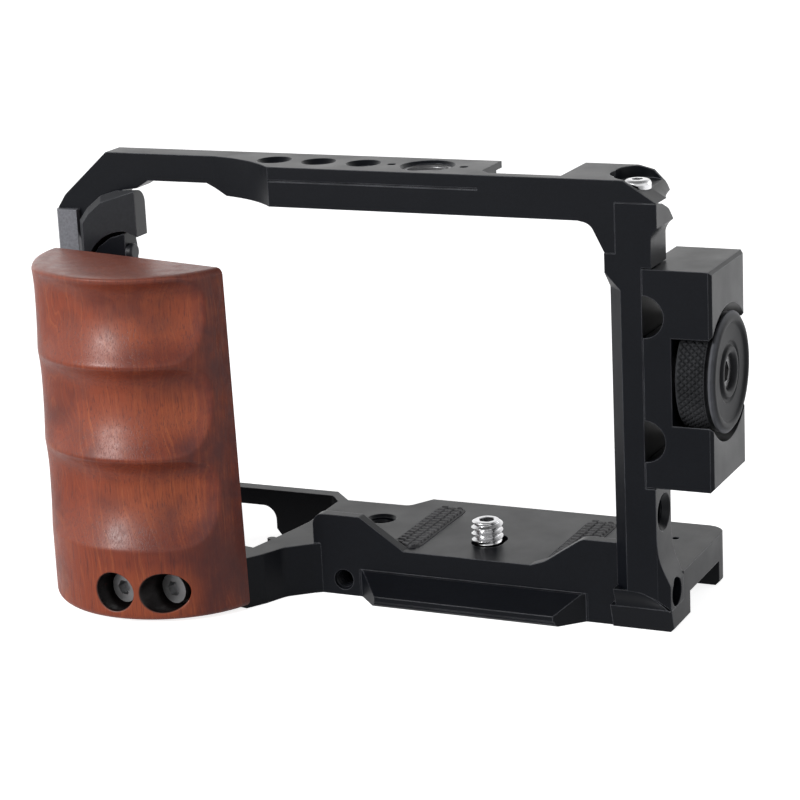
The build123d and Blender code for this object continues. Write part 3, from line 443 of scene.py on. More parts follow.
def mix_colours(tree, factor, first, second, blend="MIX"):
    """Two colours mixed, each a socket or an RGB triple."""
    first = first if isinstance(first, bpy.types.NodeSocket) else (*first, 1)
    second = second if isinstance(second, bpy.types.NodeSocket) else (*second, 1)
    inputs = {0: factor, 6: first, 7: second}
    mixed = add_node(tree, "ShaderNodeMix", inputs, data_type="RGBA", blend_type=blend)
    return mixed.outputs[2]


def colour_ramp(tree, value, stops):
    """A ramp through (position, RGB) stops."""
    ramp = add_node(tree, "ShaderNodeValToRGB", {"Fac": value})
    elements = ramp.color_ramp.elements
    while len(elements) < len(stops):
        elements.new(0.5)
    for element, (position, rgb) in zip(elements, stops):
        element.position = position
        element.color = (*rgb, 1)
    return ramp.outputs["Color"]


def anodised_finish(name, base, looks, roughness, specular):
    """Blasted and anodised metal.

    A fine grain and the softened edges make the normal. The edges are a little lighter, where the
    softened normal leaves the true one, broken up by noise: partly wear, partly a painted highlight
    where the edges catch the light.
    """
    finish, tree, shader, place = new_finish(name)
    grain = noise(tree, place, 5200, 2.0, 0.6)
    cloud = noise(tree, place, 95, 4.0, 0.6)
    soft = add_node(tree, "ShaderNodeBevel", {"Radius": looks.edge_radius}, samples=4).outputs[0]
    true = add_node(tree, "ShaderNodeNewGeometry").outputs["Normal"]
    match = add_node(tree, "ShaderNodeVectorMath", {0: soft, 1: true}, operation="DOT_PRODUCT")
    edge = spread(tree, match.outputs["Value"], 0.995, 0.86)
    # Painted highlight and wear: the edges are mixed towards the lighter edge colour
    worn_and_lit = product(tree, edge, spread(tree, cloud, 0.35, 0.62, 0.35, 1.0))
    speckle = spread(tree, noise(tree, place, 1900, 3.0, 0.7), 0.30, 0.72, 0.78, 1.22)
    tone = mix_colours(tree, worn_and_lit, scaled(tree, base, speckle), looks.worn_and_lit_colour)
    gloss = spread(tree, cloud, 0.3, 0.7, roughness - 0.04, roughness + 0.05)
    bump = {"Height": grain, "Normal": soft, "Strength": 0.10, "Distance": 0.05 * MM}
    dress(tree, shader, tone, gloss, bump, specular)
    return finish


def steel_finish(name, base, roughness):
    """Turned steel: faint clouds of light and dark, and fine scratches in the gloss."""
    finish, tree, shader, place = new_finish(name)
    scratch = noise(tree, place, 6500, 3.0, 0.7)
    smudge = noise(tree, place, 420, 3.0, 0.6)
    tone = scaled(tree, base, spread(tree, smudge, 0.3, 0.7, 0.82, 1.08))
    gloss = spread(tree, scratch, 0.25, 0.75, roughness - 0.06, roughness + 0.10)
    dress(tree, shader, tone, gloss, {"Height": scratch, "Strength": 0.12, "Distance": 0.03 * MM})
    shader.inputs["Metallic"].default_value = 1.0
    return finish


def rubber_finish(base):
    """Matt moulded rubber with dust in its grain."""
    finish, tree, shader, place = new_finish("looks_rubber")
    grain = noise(tree, place, 3200, 3.0, 0.7)
    dust = noise(tree, place, 260, 4.0, 0.65)
    pale = tuple(min(1.0, 3.2 * part) for part in base)
    tone = mix_colours(tree, spread(tree, dust, 0.42, 0.74, 0.0, 0.7), base, pale)
    gloss = spread(tree, grain, 0.3, 0.7, 0.52, 0.72)
    bump = {"Height": grain, "Strength": 0.25, "Distance": 0.06 * MM}
    dress(tree, shader, tone, gloss, bump, 0.4)
    return finish


def knob_finish(looks, centre, rim_x, rim_r):
    """Turned and anodised metal: fine rings about the knob's axis in the normal.

    The flange's rim, further out than a radius and ahead of a place on the axis, gets a painted
    highlight.
    """
    finish, tree, shader, place = new_finish("looks_knob")
    radius = distance(tree, stretch(tree, place, (0, 1, 1), origin=centre))
    ring = calculate(tree, "SINE", product(tree, radius, 26000.0))
    grain = noise(tree, place, 4200, 2.0, 0.6)
    cloud = noise(tree, place, 240, 3.0, 0.6)
    tone = scaled(tree, looks.knob_colour, spread(tree, cloud, 0.3, 0.7, 0.75, 1.35))
    # Painted highlight: the flange's rim is mixed towards the lighter edge colour
    worn_and_lit = product(
        tree, spread(tree, radius, rim_r - 0.9 * MM, rim_r - 0.3 * MM, 0.0, 0.75),
        spread(tree, split(tree, place)["X"], rim_x, rim_x + 0.3 * MM),
        spread(tree, cloud, 0.3, 0.7, 0.6, 1.0),
    )
    tone = mix_colours(tree, worn_and_lit, tone, looks.worn_and_lit_colour)
    height = calculate(tree, "MULTIPLY_ADD", ring, 0.3, grain)
    gloss = spread(tree, cloud, 0.3, 0.7, 0.44, 0.54)
    bump = {"Height": height, "Strength": 0.10, "Distance": 0.03 * MM}
    dress(tree, shader, tone, gloss, bump, 0.055)
    return finish


def near_hole(tree, parts, hole_u, grip):
    """1 inside a counterbore and 0 outside its rim, from the grip's own coordinates."""
    across = calculate(tree, "SUBTRACT", parts["X"], hole_u)
    rise = calculate(tree, "SUBTRACT", parts["Z"], grip.hole_height)
    away = distance(tree, add_node(tree, "ShaderNodeCombineXYZ", {"X": across, "Z": rise}).outputs[0])
    return spread(tree, away, grip.hole_radius, grip.hole_radius + 0.25 * MM, 1.0, 0.0)


def rosewood_finish(grip):
    """Oiled rosewood, as layers that the carved surface cuts through.

    The layers face forward and a little to the left, bent by slow noise, so that most of the front
    shows them as upright lines and the grooves' left ends show them as loops. Fine pores run up the
    wood. Painted light makes the grooves lighter towards their right ends. Painted shade darkens the
    right edge beside them, some broad patches are dark, a painted highlight makes the top paler, and
    painted shade makes the holes nearly black.
    """
    finish, tree, shader, place = new_finish("looks_rosewood")
    origin = (grip.middle_x, grip.middle_y, 0)
    local = stretch(tree, place, (1, 1, 1), origin, grip.turn)
    parts = split(tree, local)
    light, middle, dark = grip.light_colour, grip.middle_colour, grip.dark_colour
    # Painted light in the grooves grows across the first span; painted shade on the right edge grows
    # across the second
    groove_light_from, groove_light_to = -6 * MM, 12 * MM           # across the grip, where the grooves get warmer
    right_shade_from, right_shade_to = 6 * MM, 19 * MM          # across, where the right edge gets darker
    scoop_from, scoop_to = 18.0 * MM, 20.8 * MM     # across, where the grooves' own wood ends
    corner_from, corner_to = -2.0 * MM, -0.8 * MM   # towards the back, where it ends too

    sway = noise(tree, stretch(tree, local, (1, 1, 0.35)), 60, 3.0, 0.5)
    curl = noise(tree, stretch(tree, local, (1, 1, 0.30)), 260, 2.0, 0.5)
    depth = 0.0
    bends = (parts["X"], 0.54), (parts["Y"], 0.82), (parts["Z"], 0.03), (sway, 0.009), (curl, 0.001)
    for value, weight in bends:
        depth = calculate(tree, "MULTIPLY_ADD", value, weight, depth)
    inputs = {"W": depth, "Scale": 1250.0, "Detail": 4.0, "Roughness": 0.65}
    layer = add_node(tree, "ShaderNodeTexNoise", inputs, noise_dimensions="1D").outputs["Fac"]
    grain = colour_ramp(tree, layer, [
        (0.24, dark), (0.38, middle), (0.50, middle), (0.66, light), (0.84, middle),
    ])
    broad = noise(tree, stretch(tree, local, (1, 1, 0.5)), 110, 3.0, 0.6)
    grain = mix_colours(tree, spread(tree, broad, 0.36, 0.64, 0.80, 0.35), grain, middle)

    pitch = grip.crest_middle - grip.crest_low
    wave = calculate(tree, "MULTIPLY_ADD", parts["Z"], TURN / pitch, -TURN * grip.crest_low / pitch)
    scoop = product(
        tree, spread(tree, calculate(tree, "COSINE", wave), 0.75, -0.6),
        spread(tree, parts["X"], scoop_from, scoop_to, 1.0, 0.0),
        spread(tree, parts["Y"], corner_from, corner_to, 1.0, 0.0),
    )
    # Painted light: the grooves are mixed towards the light grain colour towards their right ends,
    # where their end walls face the key light
    groove_light = product(
        tree, scoop, spread(tree, parts["X"], groove_light_from, groove_light_to, 0.0, 0.32),
        spread(tree, broad, 0.30, 0.56, 0.45, 1.0),
    )
    grain = mix_colours(tree, groove_light, grain, light)
    # Painted shade: the right edge beside the grooves is darker, broken up by noise, and less so
    # inside the grooves
    mottle = noise(tree, stretch(tree, local, (1, 1, 0.8)), 190, 4.0, 0.65)
    shade = product(
        tree, spread(tree, parts["X"], right_shade_from, right_shade_to, 0.0, 0.85),
        spread(tree, mottle, 0.40, 0.62, 0.35, 1.0), spread(tree, scoop, 0.0, 0.7, 1.0, 0.15),
    )
    grain = mix_colours(tree, shade, grain, grip.right_shade_colour)
    patch = spread(tree, noise(tree, local, 62, 3.0, 0.6), 0.50, 0.70, 0.0, 0.72)
    grain = mix_colours(tree, patch, grain, dark)
    # Painted highlight: the top and its rounded front edge are mixed towards a paler colour
    top = spread(tree, parts["Z"], cad_grip_top() - 1.2 * MM, cad_grip_top(), 0.0, 0.30)
    grain = mix_colours(tree, top, grain, grip.top_light_colour)
    fibre = noise(tree, stretch(tree, local, (1, 1, 0.05)), 3600, 3.0, 0.7)
    grain = mix_colours(tree, spread(tree, fibre, 0.52, 0.68, 0.0, 0.70), grain, dark)
    # Painted shade: the counterbores are nearly black
    for hole_u in (grip.hole_left, grip.hole_right):
        grain = mix_colours(tree, near_hole(tree, parts, hole_u, grip), grain, grip.hole_shade_colour)

    pore = spread(tree, fibre, 0.52, 0.68, 1.0, 0.0)
    gloss = noise(tree, local, 420, 4.0, 0.65)
    height = calculate(tree, "MULTIPLY_ADD", gloss, 0.6, pore)
    bump = {"Height": height, "Strength": 0.30, "Distance": 0.06 * MM}
    dress(tree, shader, grain, spread(tree, gloss, 0.3, 0.7, 0.31, 0.45), bump, 0.30)
    shader.inputs["Coat Weight"].default_value = 0.10
    shader.inputs["Coat Roughness"].default_value = 0.24
    return finish


# ---------------------------------------------------------------- pieces


def ease(value):
    """0 to 1 with level ends."""
    t = np.clip(value, 0, 1)
    return t * t * (3 - 2 * t)


def groove_depth(angle, height, grip):
    """How far the carving goes in at an angle round the front and a height.

    Between two ridges the section is two half parabolas that meet at the deepest place, which is
    nearer to the upper ridge, so each ridge hangs over the groove below it. On the right the bowl
    closes in a full round end, and towards the left it runs out to nearly nothing. A rational curve
    rounds the rim.
    """
    ridges = [grip.crest_low, grip.crest_middle, grip.crest_high, cad_grip_top()]
    number = np.interp(height, ridges, np.arange(len(ridges)))
    share = number - np.floor(number)
    deepest, rounding = grip.deepest, 0.12
    along = np.where(share < deepest, 1 - share / deepest, (share - deepest) / (1 - deepest))
    across = np.clip((angle - grip.bowl_start) / (grip.bowl_end - grip.bowl_start), 0, 1)
    bowl = np.clip(1 - along**2 - across**4, 0, 1)
    bowl = (1 + rounding) * bowl**2 / (bowl + rounding)
    left = ease((angle - grip.fade_start) / (grip.fade_end - grip.fade_start))
    return grip.groove_depth * bowl * (grip.left_share + (1 - grip.left_share) * left)


def cad_grip_top():
    """Height of the grip's top."""
    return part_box("grip_body")[1].z


def edge_inset(height, low, high, radius):
    """How far a rounded edge draws in, on a quarter circle at the top and one at the bottom."""
    gap = np.minimum(height - low, high - height)
    short = np.clip(radius - gap, 0, radius)
    return radius - np.sqrt(radius**2 - short**2)


class GripShape:
    """The grip's surface as a function of place round the front and height."""

    FLAT_ANGLE = math.radians(6.5)      # the straight cut next to the right edge

    def __init__(self, grip):
        self.grip = grip
        self.low, self.high = (corner.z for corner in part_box("grip_body"))
        half, bulge = grip.half_width, grip.bulge
        self.radius = (half**2 + bulge**2) / (2 * bulge)
        self.behind = self.radius - bulge
        self.end_angle = math.atan2(half, self.behind)
        self.corner = self.end_angle - self.FLAT_ANGLE

    def outline(self, angle):
        """Plan outline: a circle's arc, cut straight across near its right end."""
        u = self.radius * np.sin(angle)
        v = self.radius * np.cos(angle) - self.behind
        t = np.clip((angle - self.corner) / self.FLAT_ANGLE, 0, 1)
        corner_u = self.radius * math.sin(self.corner)
        corner_v = self.radius * math.cos(self.corner) - self.behind
        u = np.where(t > 0, corner_u + t * (self.grip.half_width - corner_u), u)
        v = np.where(t > 0, corner_v * (1 - t), v)
        return u, np.maximum(v, 0)

    def lean(self, height):
        """How much wider than half way up the right half is at a height."""
        share = (height - self.low) / (self.high - self.low)
        return 1 + self.grip.flare * (1 - 2 * share) / self.grip.half_width

    def front(self, angle, height):
        """The outline drawn in towards the middle of the back by the carving's depth.

        Its right half leans out towards the foot, most at the right edge.
        """
        u, v = self.outline(angle)
        depth = groove_depth(angle, height, self.grip)
        depth = depth + edge_inset(height, self.low, self.high, self.grip.edge_round)
        u = np.where(u > 0, u * self.lean(height), u)
        return u * (1 - depth / self.radius), v * (1 - depth / self.grip.bulge)

    def world(self, u, v, height):
        """From the grip's own axes (along its back, forward, up) to the cage's."""
        across, ahead = math.cos(self.grip.turn), math.sin(self.grip.turn)
        x = self.grip.middle_x + u * across + v * ahead
        y = self.grip.middle_y + u * ahead - v * across
        return x, y, height


def hole_patches(shape, square_u, square_z, middle_u, middle_z):
    """Fills a square of the front round a counterbore, and the counterbore.

    The square's outline is drawn evenly onto the circle. From there the rim rolls in on a quarter
    circle, a straight wall goes to the floor, and the floor closes at its middle.
    """
    grip = shape.grip
    u, z = (border(grid) for grid in np.meshgrid(square_u, square_z))
    turn = np.arctan2(z - middle_z, u - middle_u)
    rim = 0.3 * MM
    outer = grip.hole_radius + rim
    rim_z = middle_z + outer * np.sin(turn)
    rim_u = (middle_u + outer * np.cos(turn)) / shape.lean(rim_z)
    ring_u, ring_z = between(u, rim_u, 6), between(z, rim_z, 6)
    face_u, face_v = shape.front(np.arcsin(ring_u / shape.radius), ring_z)
    roll = np.linspace(0, math.pi / 2, 5)[1:, None]
    roll_r = outer - rim * np.sin(roll)
    roll_v = face_v[-1] - rim * (1 - np.cos(roll))
    floor_v = shape.outline(np.arcsin(middle_u / shape.radius))[1] - grip.hole_sink
    wall_v = between(roll_v[-1], floor_v, 7)[1:]
    wall_r = np.full((len(wall_v), 1), grip.hole_radius)
    bed_r = between(grip.hole_radius, 0, 6)[1:]
    bed_v = floor_v + 0 * bed_r * turn
    radius = np.concatenate([roll_r, wall_r, bed_r])
    all_u = np.concatenate([face_u, middle_u + radius * np.cos(turn)])
    all_v = np.concatenate([face_v, roll_v, wall_v, bed_v])
    all_z = np.concatenate([ring_z, middle_z + radius * np.sin(turn)])
    return grid_patch(*shape.world(all_u, all_v, all_z), wrap=True)


def make_wood_grip(grip):
    """The carved grip: front, flat back, two caps and two counterbores."""
    shape = GripShape(grip)
    low, high, round_edge = shape.low, shape.high, grip.edge_round
    half_square = 4.6 * MM
    bolts = [grip.hole_left, grip.hole_right]
    marks_u = [bolts[0] - half_square, bolts[0] + half_square, bolts[1] + half_square]
    marks = [-shape.end_angle] + [math.asin(value / shape.radius) for value in marks_u]
    marks += [shape.corner, shape.end_angle]
    counts = [84, 24, 24, 22, 4]
    angle = steps(marks, counts)
    square_low, square_high = grip.hole_height - half_square, grip.hole_height + half_square
    level_marks = [low, square_low, low + round_edge, square_high, high - round_edge, high]
    level = steps(level_marks, [5, 6, 20, 130, 9])
    angles, levels = np.meshgrid(angle, level)
    front_u, front_v = shape.front(angles, levels)
    points, faces = grid_patch(*shape.world(front_u, front_v, levels))
    row, column = np.divmod(faces[:, 0], len(angle))
    first_row, last_row = (int(np.argmin(abs(level - z))) for z in (square_low, square_high))
    edges = np.cumsum(counts[:3])
    inside = (row >= first_row) & (row < last_row)
    inside &= (column >= edges[0]) & (column < edges[2])
    patches = [(points, faces[~inside])]
    rows = level[first_row:last_row + 1]
    for number, middle in enumerate(bolts):
        cut = angle[edges[number]:edges[number + 1] + 1]
        patches.append(
            hole_patches(shape, shape.radius * np.sin(cut), rows, middle, grip.hole_height)
        )
    outline_u = shape.outline(angle)[0]
    share = (outline_u - outline_u[0]) / (outline_u[-1] - outline_u[0])
    back_u = front_u[:, :1] + (front_u[:, -1:] - front_u[:, :1]) * share
    patches.append(grid_patch(*shape.world(back_u, np.zeros_like(back_u), levels)))
    for end in (0, -1):
        cap_v = between(front_v[end], 0, 9)
        cap_u = front_u[end] + 0 * cap_v
        patches.append(grid_patch(*shape.world(cap_u, cap_v, np.full_like(cap_u, level[end]))))
    piece = build_piece("wood_grip", patches, rosewood_finish(grip), "cage", sharp=50)
    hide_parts("grip_body")


def make_thumb_knob(knob, looks):
    """The knob: a turned profile, with two families of slanting ridges cut into its band.

    Each family is a triangle wave in turns plus or minus distance along the axis, and the knurl
    stands where both are high. The flange's corners are in millimetres, along from the outer face
    and out from the axis.
    """
    low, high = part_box("clamp_knob")
    centre = (low + high) / 2
    knob_r = (high.z - low.z) / 2
    inner, outer = low.x, high.x
    flange, band_r = outer - 1.8 * MM, knob_r - 0.2 * MM
    back = rounded_profile([
        (inner, 2.5 * MM), (inner, band_r - 0.5 * MM), (inner + 0.5 * MM, band_r),
    ], 0.2 * MM)
    rim, waist, root = knob_r / MM, band_r / MM, (inner - outer) / MM
    front = np.array([
        (-1.95, waist), (-1.8, waist - 0.75), (-1.45, waist - 0.8), (-1.25, rim - 0.35), (-0.95, rim),
        (-0.65, rim), (0, rim - 0.95), (0, rim - 1.8), (-0.6, rim - 2.35), (-0.6, 5.95),
        (-0.95, 5.65), (-0.95, 5.15), (-0.3, 4.75), (-0.3, 3.85), (-0.8, 3.4), (-4.2, 3.4),
        (-4.2, 2.5), (root, 2.5),
    ])
    front = rounded_profile(front * MM + (outer, 0), 0.28 * MM)
    band_x = np.linspace(inner + 0.5 * MM, flange - 0.15 * MM, 56)[1:-1]
    band = np.stack([band_x, np.full_like(band_x, band_r)], axis=-1)
    profile = np.vstack([back, band, front])
    turn = np.linspace(0, TURN, knob.knurls * 9, endpoint=False)
    x, radius = profile[:, :1], profile[:, 1:]
    run = turn / TURN * knob.knurls
    slant = (x - inner) / knob.knurl_pitch
    first = 2 * abs((run + slant) % 1 - 0.5)
    second = 2 * abs((run - slant) % 1 - 0.5)
    fade = 0.35 * MM
    begin = np.clip((x - inner - 0.45 * MM) / fade, 0, 1)
    end = np.clip((flange - 0.12 * MM - x) / fade, 0, 1)
    on_band = begin * end * (radius > band_r - 0.05 * MM)
    groove = 1 - np.minimum(1, 1.9 * np.minimum(first, second))
    radius = radius - knob.knurl_depth * groove * on_band
    patch = grid_patch(x, centre.y + radius * np.cos(turn), centre.z + radius * np.sin(turn), True)
    finish = knob_finish(looks, centre, flange + 0.35 * MM, knob_r)
    piece = build_piece("thumb_knob", [patch], finish, "knob", sharp=28)
    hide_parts("clamp_knob")


def thread_wave(phase):
    """A rounded vee: full at a whole number of turns, with a third of each turn nearly flat."""
    return np.clip(1.25 * (1 - 2 * abs((phase + 0.5) % 1 - 0.5)) ** 1.1 - 0.08, 0, 1)


def make_camera_screw(screw, finish):
    """The camera screw: threaded tip with a hexagon socket, neck, and coin-slotted head.

    The thread's radius is a wave in height minus turns, faded at the tip and the neck. The head is
    rows of chords across a disc, and the slot raises the rows near the middle of its underside.
    """
    low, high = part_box("camera_screw")
    head_r = (high.x - low.x) / 2
    outer_r, core_r, neck_r = 3.175 * MM, 3.175 * MM - screw.depth, 2.5 * MM
    head_top, foot, tip = -6.35 * MM, low.z, high.z
    turn = np.linspace(0, TURN, 144, endpoint=False)
    height = steps([head_top, -0.2 * MM, 0.25 * MM, tip - 0.5 * MM, tip], [6, 4, 96, 10])[:, None]
    wave = thread_wave(height / screw.pitch - turn / TURN)
    grow = np.clip((height + 0.1 * MM) / (0.5 * MM), 0, 1)
    shrink = np.clip((tip - height) / (0.55 * MM), 0, 1) ** 0.6
    radius = neck_r + (core_r - neck_r) * grow + (outer_r - core_r) * wave * grow * shrink
    radius = radius - 0.25 * MM * (1 - shrink)
    side = turned(radius, height, turn)
    sector = (turn % (TURN / 6)) - TURN / 12
    hexagon = 1.6 * MM * math.cos(TURN / 12) / np.cos(sector)
    well_r = np.stack([hexagon, hexagon, 0.5 * hexagon, 0 * hexagon])
    well_z = tip - np.array([0.12, 2.2, 2.5, 2.6])[:, None] * MM
    top_r = np.concatenate([between(radius[-1], hexagon + 0.12 * MM, 6), well_r])
    top_z = np.concatenate([np.full((6, 1), tip), well_z])
    top = turned(top_r, top_z, turn)
    closing = turned(between(radius[0], 0, 3), head_top, turn)
    slot_half, slot_deep, lean = 0.8 * MM, 1.2 * MM, 0.001 * MM
    chord_y = steps(
        [-head_r, -slot_half, lean - slot_half, slot_half - lean, slot_half, head_r],
        [24, 1, 6, 1, 24],
    )[:, None]
    chord_x = np.linspace(-1, 1, 33) * np.sqrt(np.clip(head_r**2 - chord_y**2, 0, None))
    foot_z = foot + slot_deep * (abs(chord_y) < slot_half - lean / 2) + 0 * chord_x
    patches = [side, top, closing]
    patches += [grid_patch(chord_x, chord_y, z) for z in (head_top, foot_z)]
    for end in (0, -1):
        wall_z = between(head_top, foot_z[:, end], 4)
        patches.append(grid_patch(chord_x[:, end], chord_y[:, 0], wall_z))
    piece = build_piece("threaded_screw", patches, finish, "screw", sharp=38)
    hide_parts("camera_screw")


def make_pad(name, node, pad, finish):
    """A seat pad: a slab with round corners and staggered ribs.

    Each column of ribs is shifted by half a rib from the next, and a rib's height is the product
    of a rounded bump along the pad and one across its column.
    """
    low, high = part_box(node)
    centre = (low + high) / 2
    half_x, half_y = (high.x - low.x) / 2, (high.y - low.y) / 2
    corner, margin, roll = 2.3 * MM, 0.35 * MM, 0.22 * MM
    bed = high.z - pad.rib_height
    y = steps([-half_y, -half_y + corner, half_y - corner, half_y], [26, 180, 26])
    bend = np.clip(abs(y) - (half_y - corner), 0, corner)
    width = half_x - corner + np.sqrt(corner**2 - bend**2)
    a = np.linspace(-1, 1, 61)
    x = width[:, None] * a
    y = y[:, None] + 0 * x
    column_wide = 2 * (half_x - margin) / pad.columns
    column = (x + half_x - margin) / column_wide
    number = np.floor(column)
    across = 0.5 - abs(column - number - 0.5)
    along = 0.5 - abs((y / pad.rib_pitch + 0.5 * (number % 2)) % 1 - 0.5)
    edge = np.minimum((1 - abs(a)) * width[:, None], half_y - abs(y))
    shape = np.clip(across * column_wide / roll, 0, 1)
    shape = shape * np.clip((along - 0.13) / 0.14, 0, 1)
    shape = shape * np.clip((edge - 0.25 * MM) / (0.2 * MM), 0, 1)
    soft = np.clip(edge / roll, 0, 1)
    top_z = bed - 0.12 * MM * (1 - soft) ** 2 + pad.rib_height * ease(shape)
    place_x, place_y = centre.x + x, centre.y + y
    patches = slab_patches((place_x, place_y, top_z), (place_x, place_y, low.z))
    piece = build_piece(name, patches, finish, "cage", sharp=40)
    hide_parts(node)


def make_foot_web(trim, finish):
    """Closes the slot between the upright's foot and the base plate's foot.

    Its top follows the upright's lower edge, a power of the distance from the edge's level part, and
    its front eases back from the upright's face to the base plate's.
    """
    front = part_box("right_upright")[0].y
    x = np.linspace(trim.foot_left, trim.foot_right, 40)
    fall = np.clip((x - trim.foot_level) / (trim.foot_right - trim.foot_level), 0, 1) ** 2.3
    upper = trim.foot_high - (trim.foot_high - trim.foot_low) * fall
    z = between(upper, trim.foot_low, 24)
    y = front + 0.15 * MM + trim.foot_lean * ease(between(0, 1, 24))
    patches = slab_patches((x, y, z), (x, trim.foot_back, z))
    piece = build_piece("foot_web", patches, finish, "cage", sharp=40)


def make_ear_crown(trim, finish):
    """The bracket's ear behind the lug's arch: a plate with a half ellipse for its top."""
    rise = np.clip(between(-1, 1, 40), 0, 1)
    x = trim.ear_middle + trim.ear_half * np.sqrt(1 - rise**2) * np.linspace(-1, 1, 25)
    z = between(trim.ear_low, trim.ear_high, 40)
    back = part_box("grip_bracket")[1].y - 0.05 * MM
    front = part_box("shoulder_lug")[1].y + 0.05 * MM
    patches = slab_patches((x, front, z), (x, back, z))
    piece = build_piece("ear_crown", patches, finish, "cage", sharp=40)


def make_thread_lining(name, mount, depth, finish):
    """A ring of thread that lines a tapped hole.

    Its inner radius is the bore's less a wave in distance minus turns, faded at both ends, and its
    outer wall is buried in the metal round the hole.
    """
    radius = mount["dims"]["r_mm"] * MM
    long = mount["dims"]["length_mm"] * MM
    pitch = PITCH_FOR_RADIUS[mount["dims"]["r_mm"]] * MM
    middle, axis = Vector(mount["pos_m"]), Vector(mount["axis"])
    across = axis.orthogonal().normalized()
    other = axis.cross(across)
    turn = np.linspace(0, TURN, 72, endpoint=False)
    reach = long / 2 - 0.25 * MM
    run = np.linspace(-reach, reach, int(2 * reach / pitch * 10) + 1)[:, None]
    fade = np.clip((reach - abs(run)) / (0.6 * pitch), 0, 1)
    inner = radius + 0.03 * MM - depth * thread_wave(run / pitch - turn / TURN) * fade
    buried = np.full((2, len(turn)), radius + 0.12 * MM)
    ring_r = np.concatenate([inner, buried, inner[:1]])
    ring_h = np.concatenate([run, [[reach]], [[-reach]], run[:1]]) + 0 * ring_r
    place = [
        middle[i] + axis[i] * ring_h + ring_r * (across[i] * np.cos(turn) + other[i] * np.sin(turn))
        for i in range(3)
    ]
    piece = build_piece(name, [grid_patch(*place, wrap=True)], finish, "cage", sharp=60)


# ---------------------------------------------------------------- operators


def shared_finish(name):
    """A finish by name, made from the scene's settings the first time."""
    title = "looks_" + name
    if title in bpy.data.materials:
        return bpy.data.materials[title]
    looks = bpy.context.scene.cage_finishes
    anodised = {
        "black_anodised": (looks.black_colour, looks, 0.36, 0.13),
        "grey_anodised": (looks.post_tone_colour, looks, 0.40, 0.25),
        "lug_tone_anodised": (looks.lug_tone_colour, looks, 0.38, 0.20),
    }
    steel = {"steel": (looks.steel_colour, 0.20), "dark_steel": (looks.dark_steel_colour, 0.34)}
    if name in anodised:
        return anodised_finish(title, *anodised[name])
    return steel_finish(title, *steel[name])


class CAGE_OT_frame_finishes(bpy.types.Operator):
    """Gives each part of the metal frame its finish"""

    bl_idname = "cage.frame_finishes"
    bl_label = "Frame Finishes"

    def execute(self, context):
        for name, nodes in FINISH_NODES.items():
            for node in nodes:
                for holder in frame["nodes"][node].material_slots:
                    holder.material = shared_finish(name)
        return {"FINISHED"}


class CAGE_OT_wood_grip(bpy.types.Operator):
    """Carves the wooden grip"""

    bl_idname = "cage.wood_grip"
    bl_label = "Wooden Grip"

    def execute(self, context):
        make_wood_grip(context.scene.cage_grip)
        return {"FINISHED"}


class CAGE_OT_thumb_knob(bpy.types.Operator):
    """Turns and knurls the thumb knob"""

    bl_idname = "cage.thumb_knob"
    bl_label = "Thumb Knob"

    def execute(self, context):
        make_thumb_knob(context.scene.cage_knob, context.scene.cage_finishes)
        return {"FINISHED"}


class CAGE_OT_camera_screw(bpy.types.Operator):
    """Cuts the camera screw's thread"""

    bl_idname = "cage.camera_screw"
    bl_label = "Camera Screw"

    def execute(self, context):
        make_camera_screw(context.scene.cage_screw, shared_finish("steel"))
        return {"FINISHED"}


class CAGE_OT_seat_pads(bpy.types.Operator):
    """Moulds the two rubber pads on the seat"""

    bl_idname = "cage.seat_pads"
    bl_label = "Seat Pads"

    def execute(self, context):
        finish = rubber_finish(context.scene.cage_finishes.rubber_colour)
        make_pad("seat_pad_left", "pad_left", context.scene.cage_pads, finish)
        make_pad("seat_pad_right", "pad_right", context.scene.cage_pads, finish)
        return {"FINISHED"}


class CAGE_OT_trim(bpy.types.Operator):
    """Finishes the foot of the upright and the bracket's ear"""

    bl_idname = "cage.trim"
    bl_label = "Foot and Ear"

    def execute(self, context):
        make_foot_web(context.scene.cage_trim, shared_finish("black_anodised"))
        make_ear_crown(context.scene.cage_trim, shared_finish("black_anodised"))
        return {"FINISHED"}


class CAGE_OT_thread_linings(bpy.types.Operator):
    """Lines every tapped hole with its thread"""

    bl_idname = "cage.thread_linings"
    bl_label = "Hole Threads"

    def execute(self, context):
        depth = context.scene.cage_screw.lining_depth
        for mount in frame["record"]["mounts"]:
            if mount["kind"] != "threaded_hole":
                continue
            slot = "dark_steel" if mount["name"] == "lock_hole" else "black_anodised"
            name = "thread_in_" + mount["name"]
            make_thread_lining(name, mount, depth, shared_finish(slot))
        return {"FINISHED"}


def add_soft_box(name, watts, size, place, target):
    """A square lamp at a place, facing a target."""
    lamp = bpy.data.lights.new(name, "AREA")
    lamp.energy = watts
    lamp.size = size
    holder = new_object(name, lamp)
    holder.location = place
    holder.rotation_euler = (target - Vector(place)).to_track_quat("-Z", "Y").to_euler()


def ray_kinds(tree):
    """1 for a ray from the camera, and 1 for one that is mirrored or goes through glass."""
    path = add_node(tree, "ShaderNodeLightPath").outputs
    mirrored = calculate(tree, "MAXIMUM", path["Is Glossy Ray"], path["Is Transmission Ray"])
    return path["Is Camera Ray"], mirrored


def floor_light(tree, place, stage):
    """1 for a ray from the camera and 0 for diffuse light.

    In reflections and clear materials it runs from dim in front of the cage to bright behind it at
    the right.
    """
    seen, mirrored = ray_kinds(tree)
    parts = split(tree, place)
    behind = calculate(tree, "MULTIPLY_ADD", parts["X"], 0.45, parts["Y"])
    pool = spread(tree, behind, stage.pool_start, stage.pool_end, 0.30, 1.50)
    return calculate(tree, "MULTIPLY_ADD", mirrored, pool, seen)


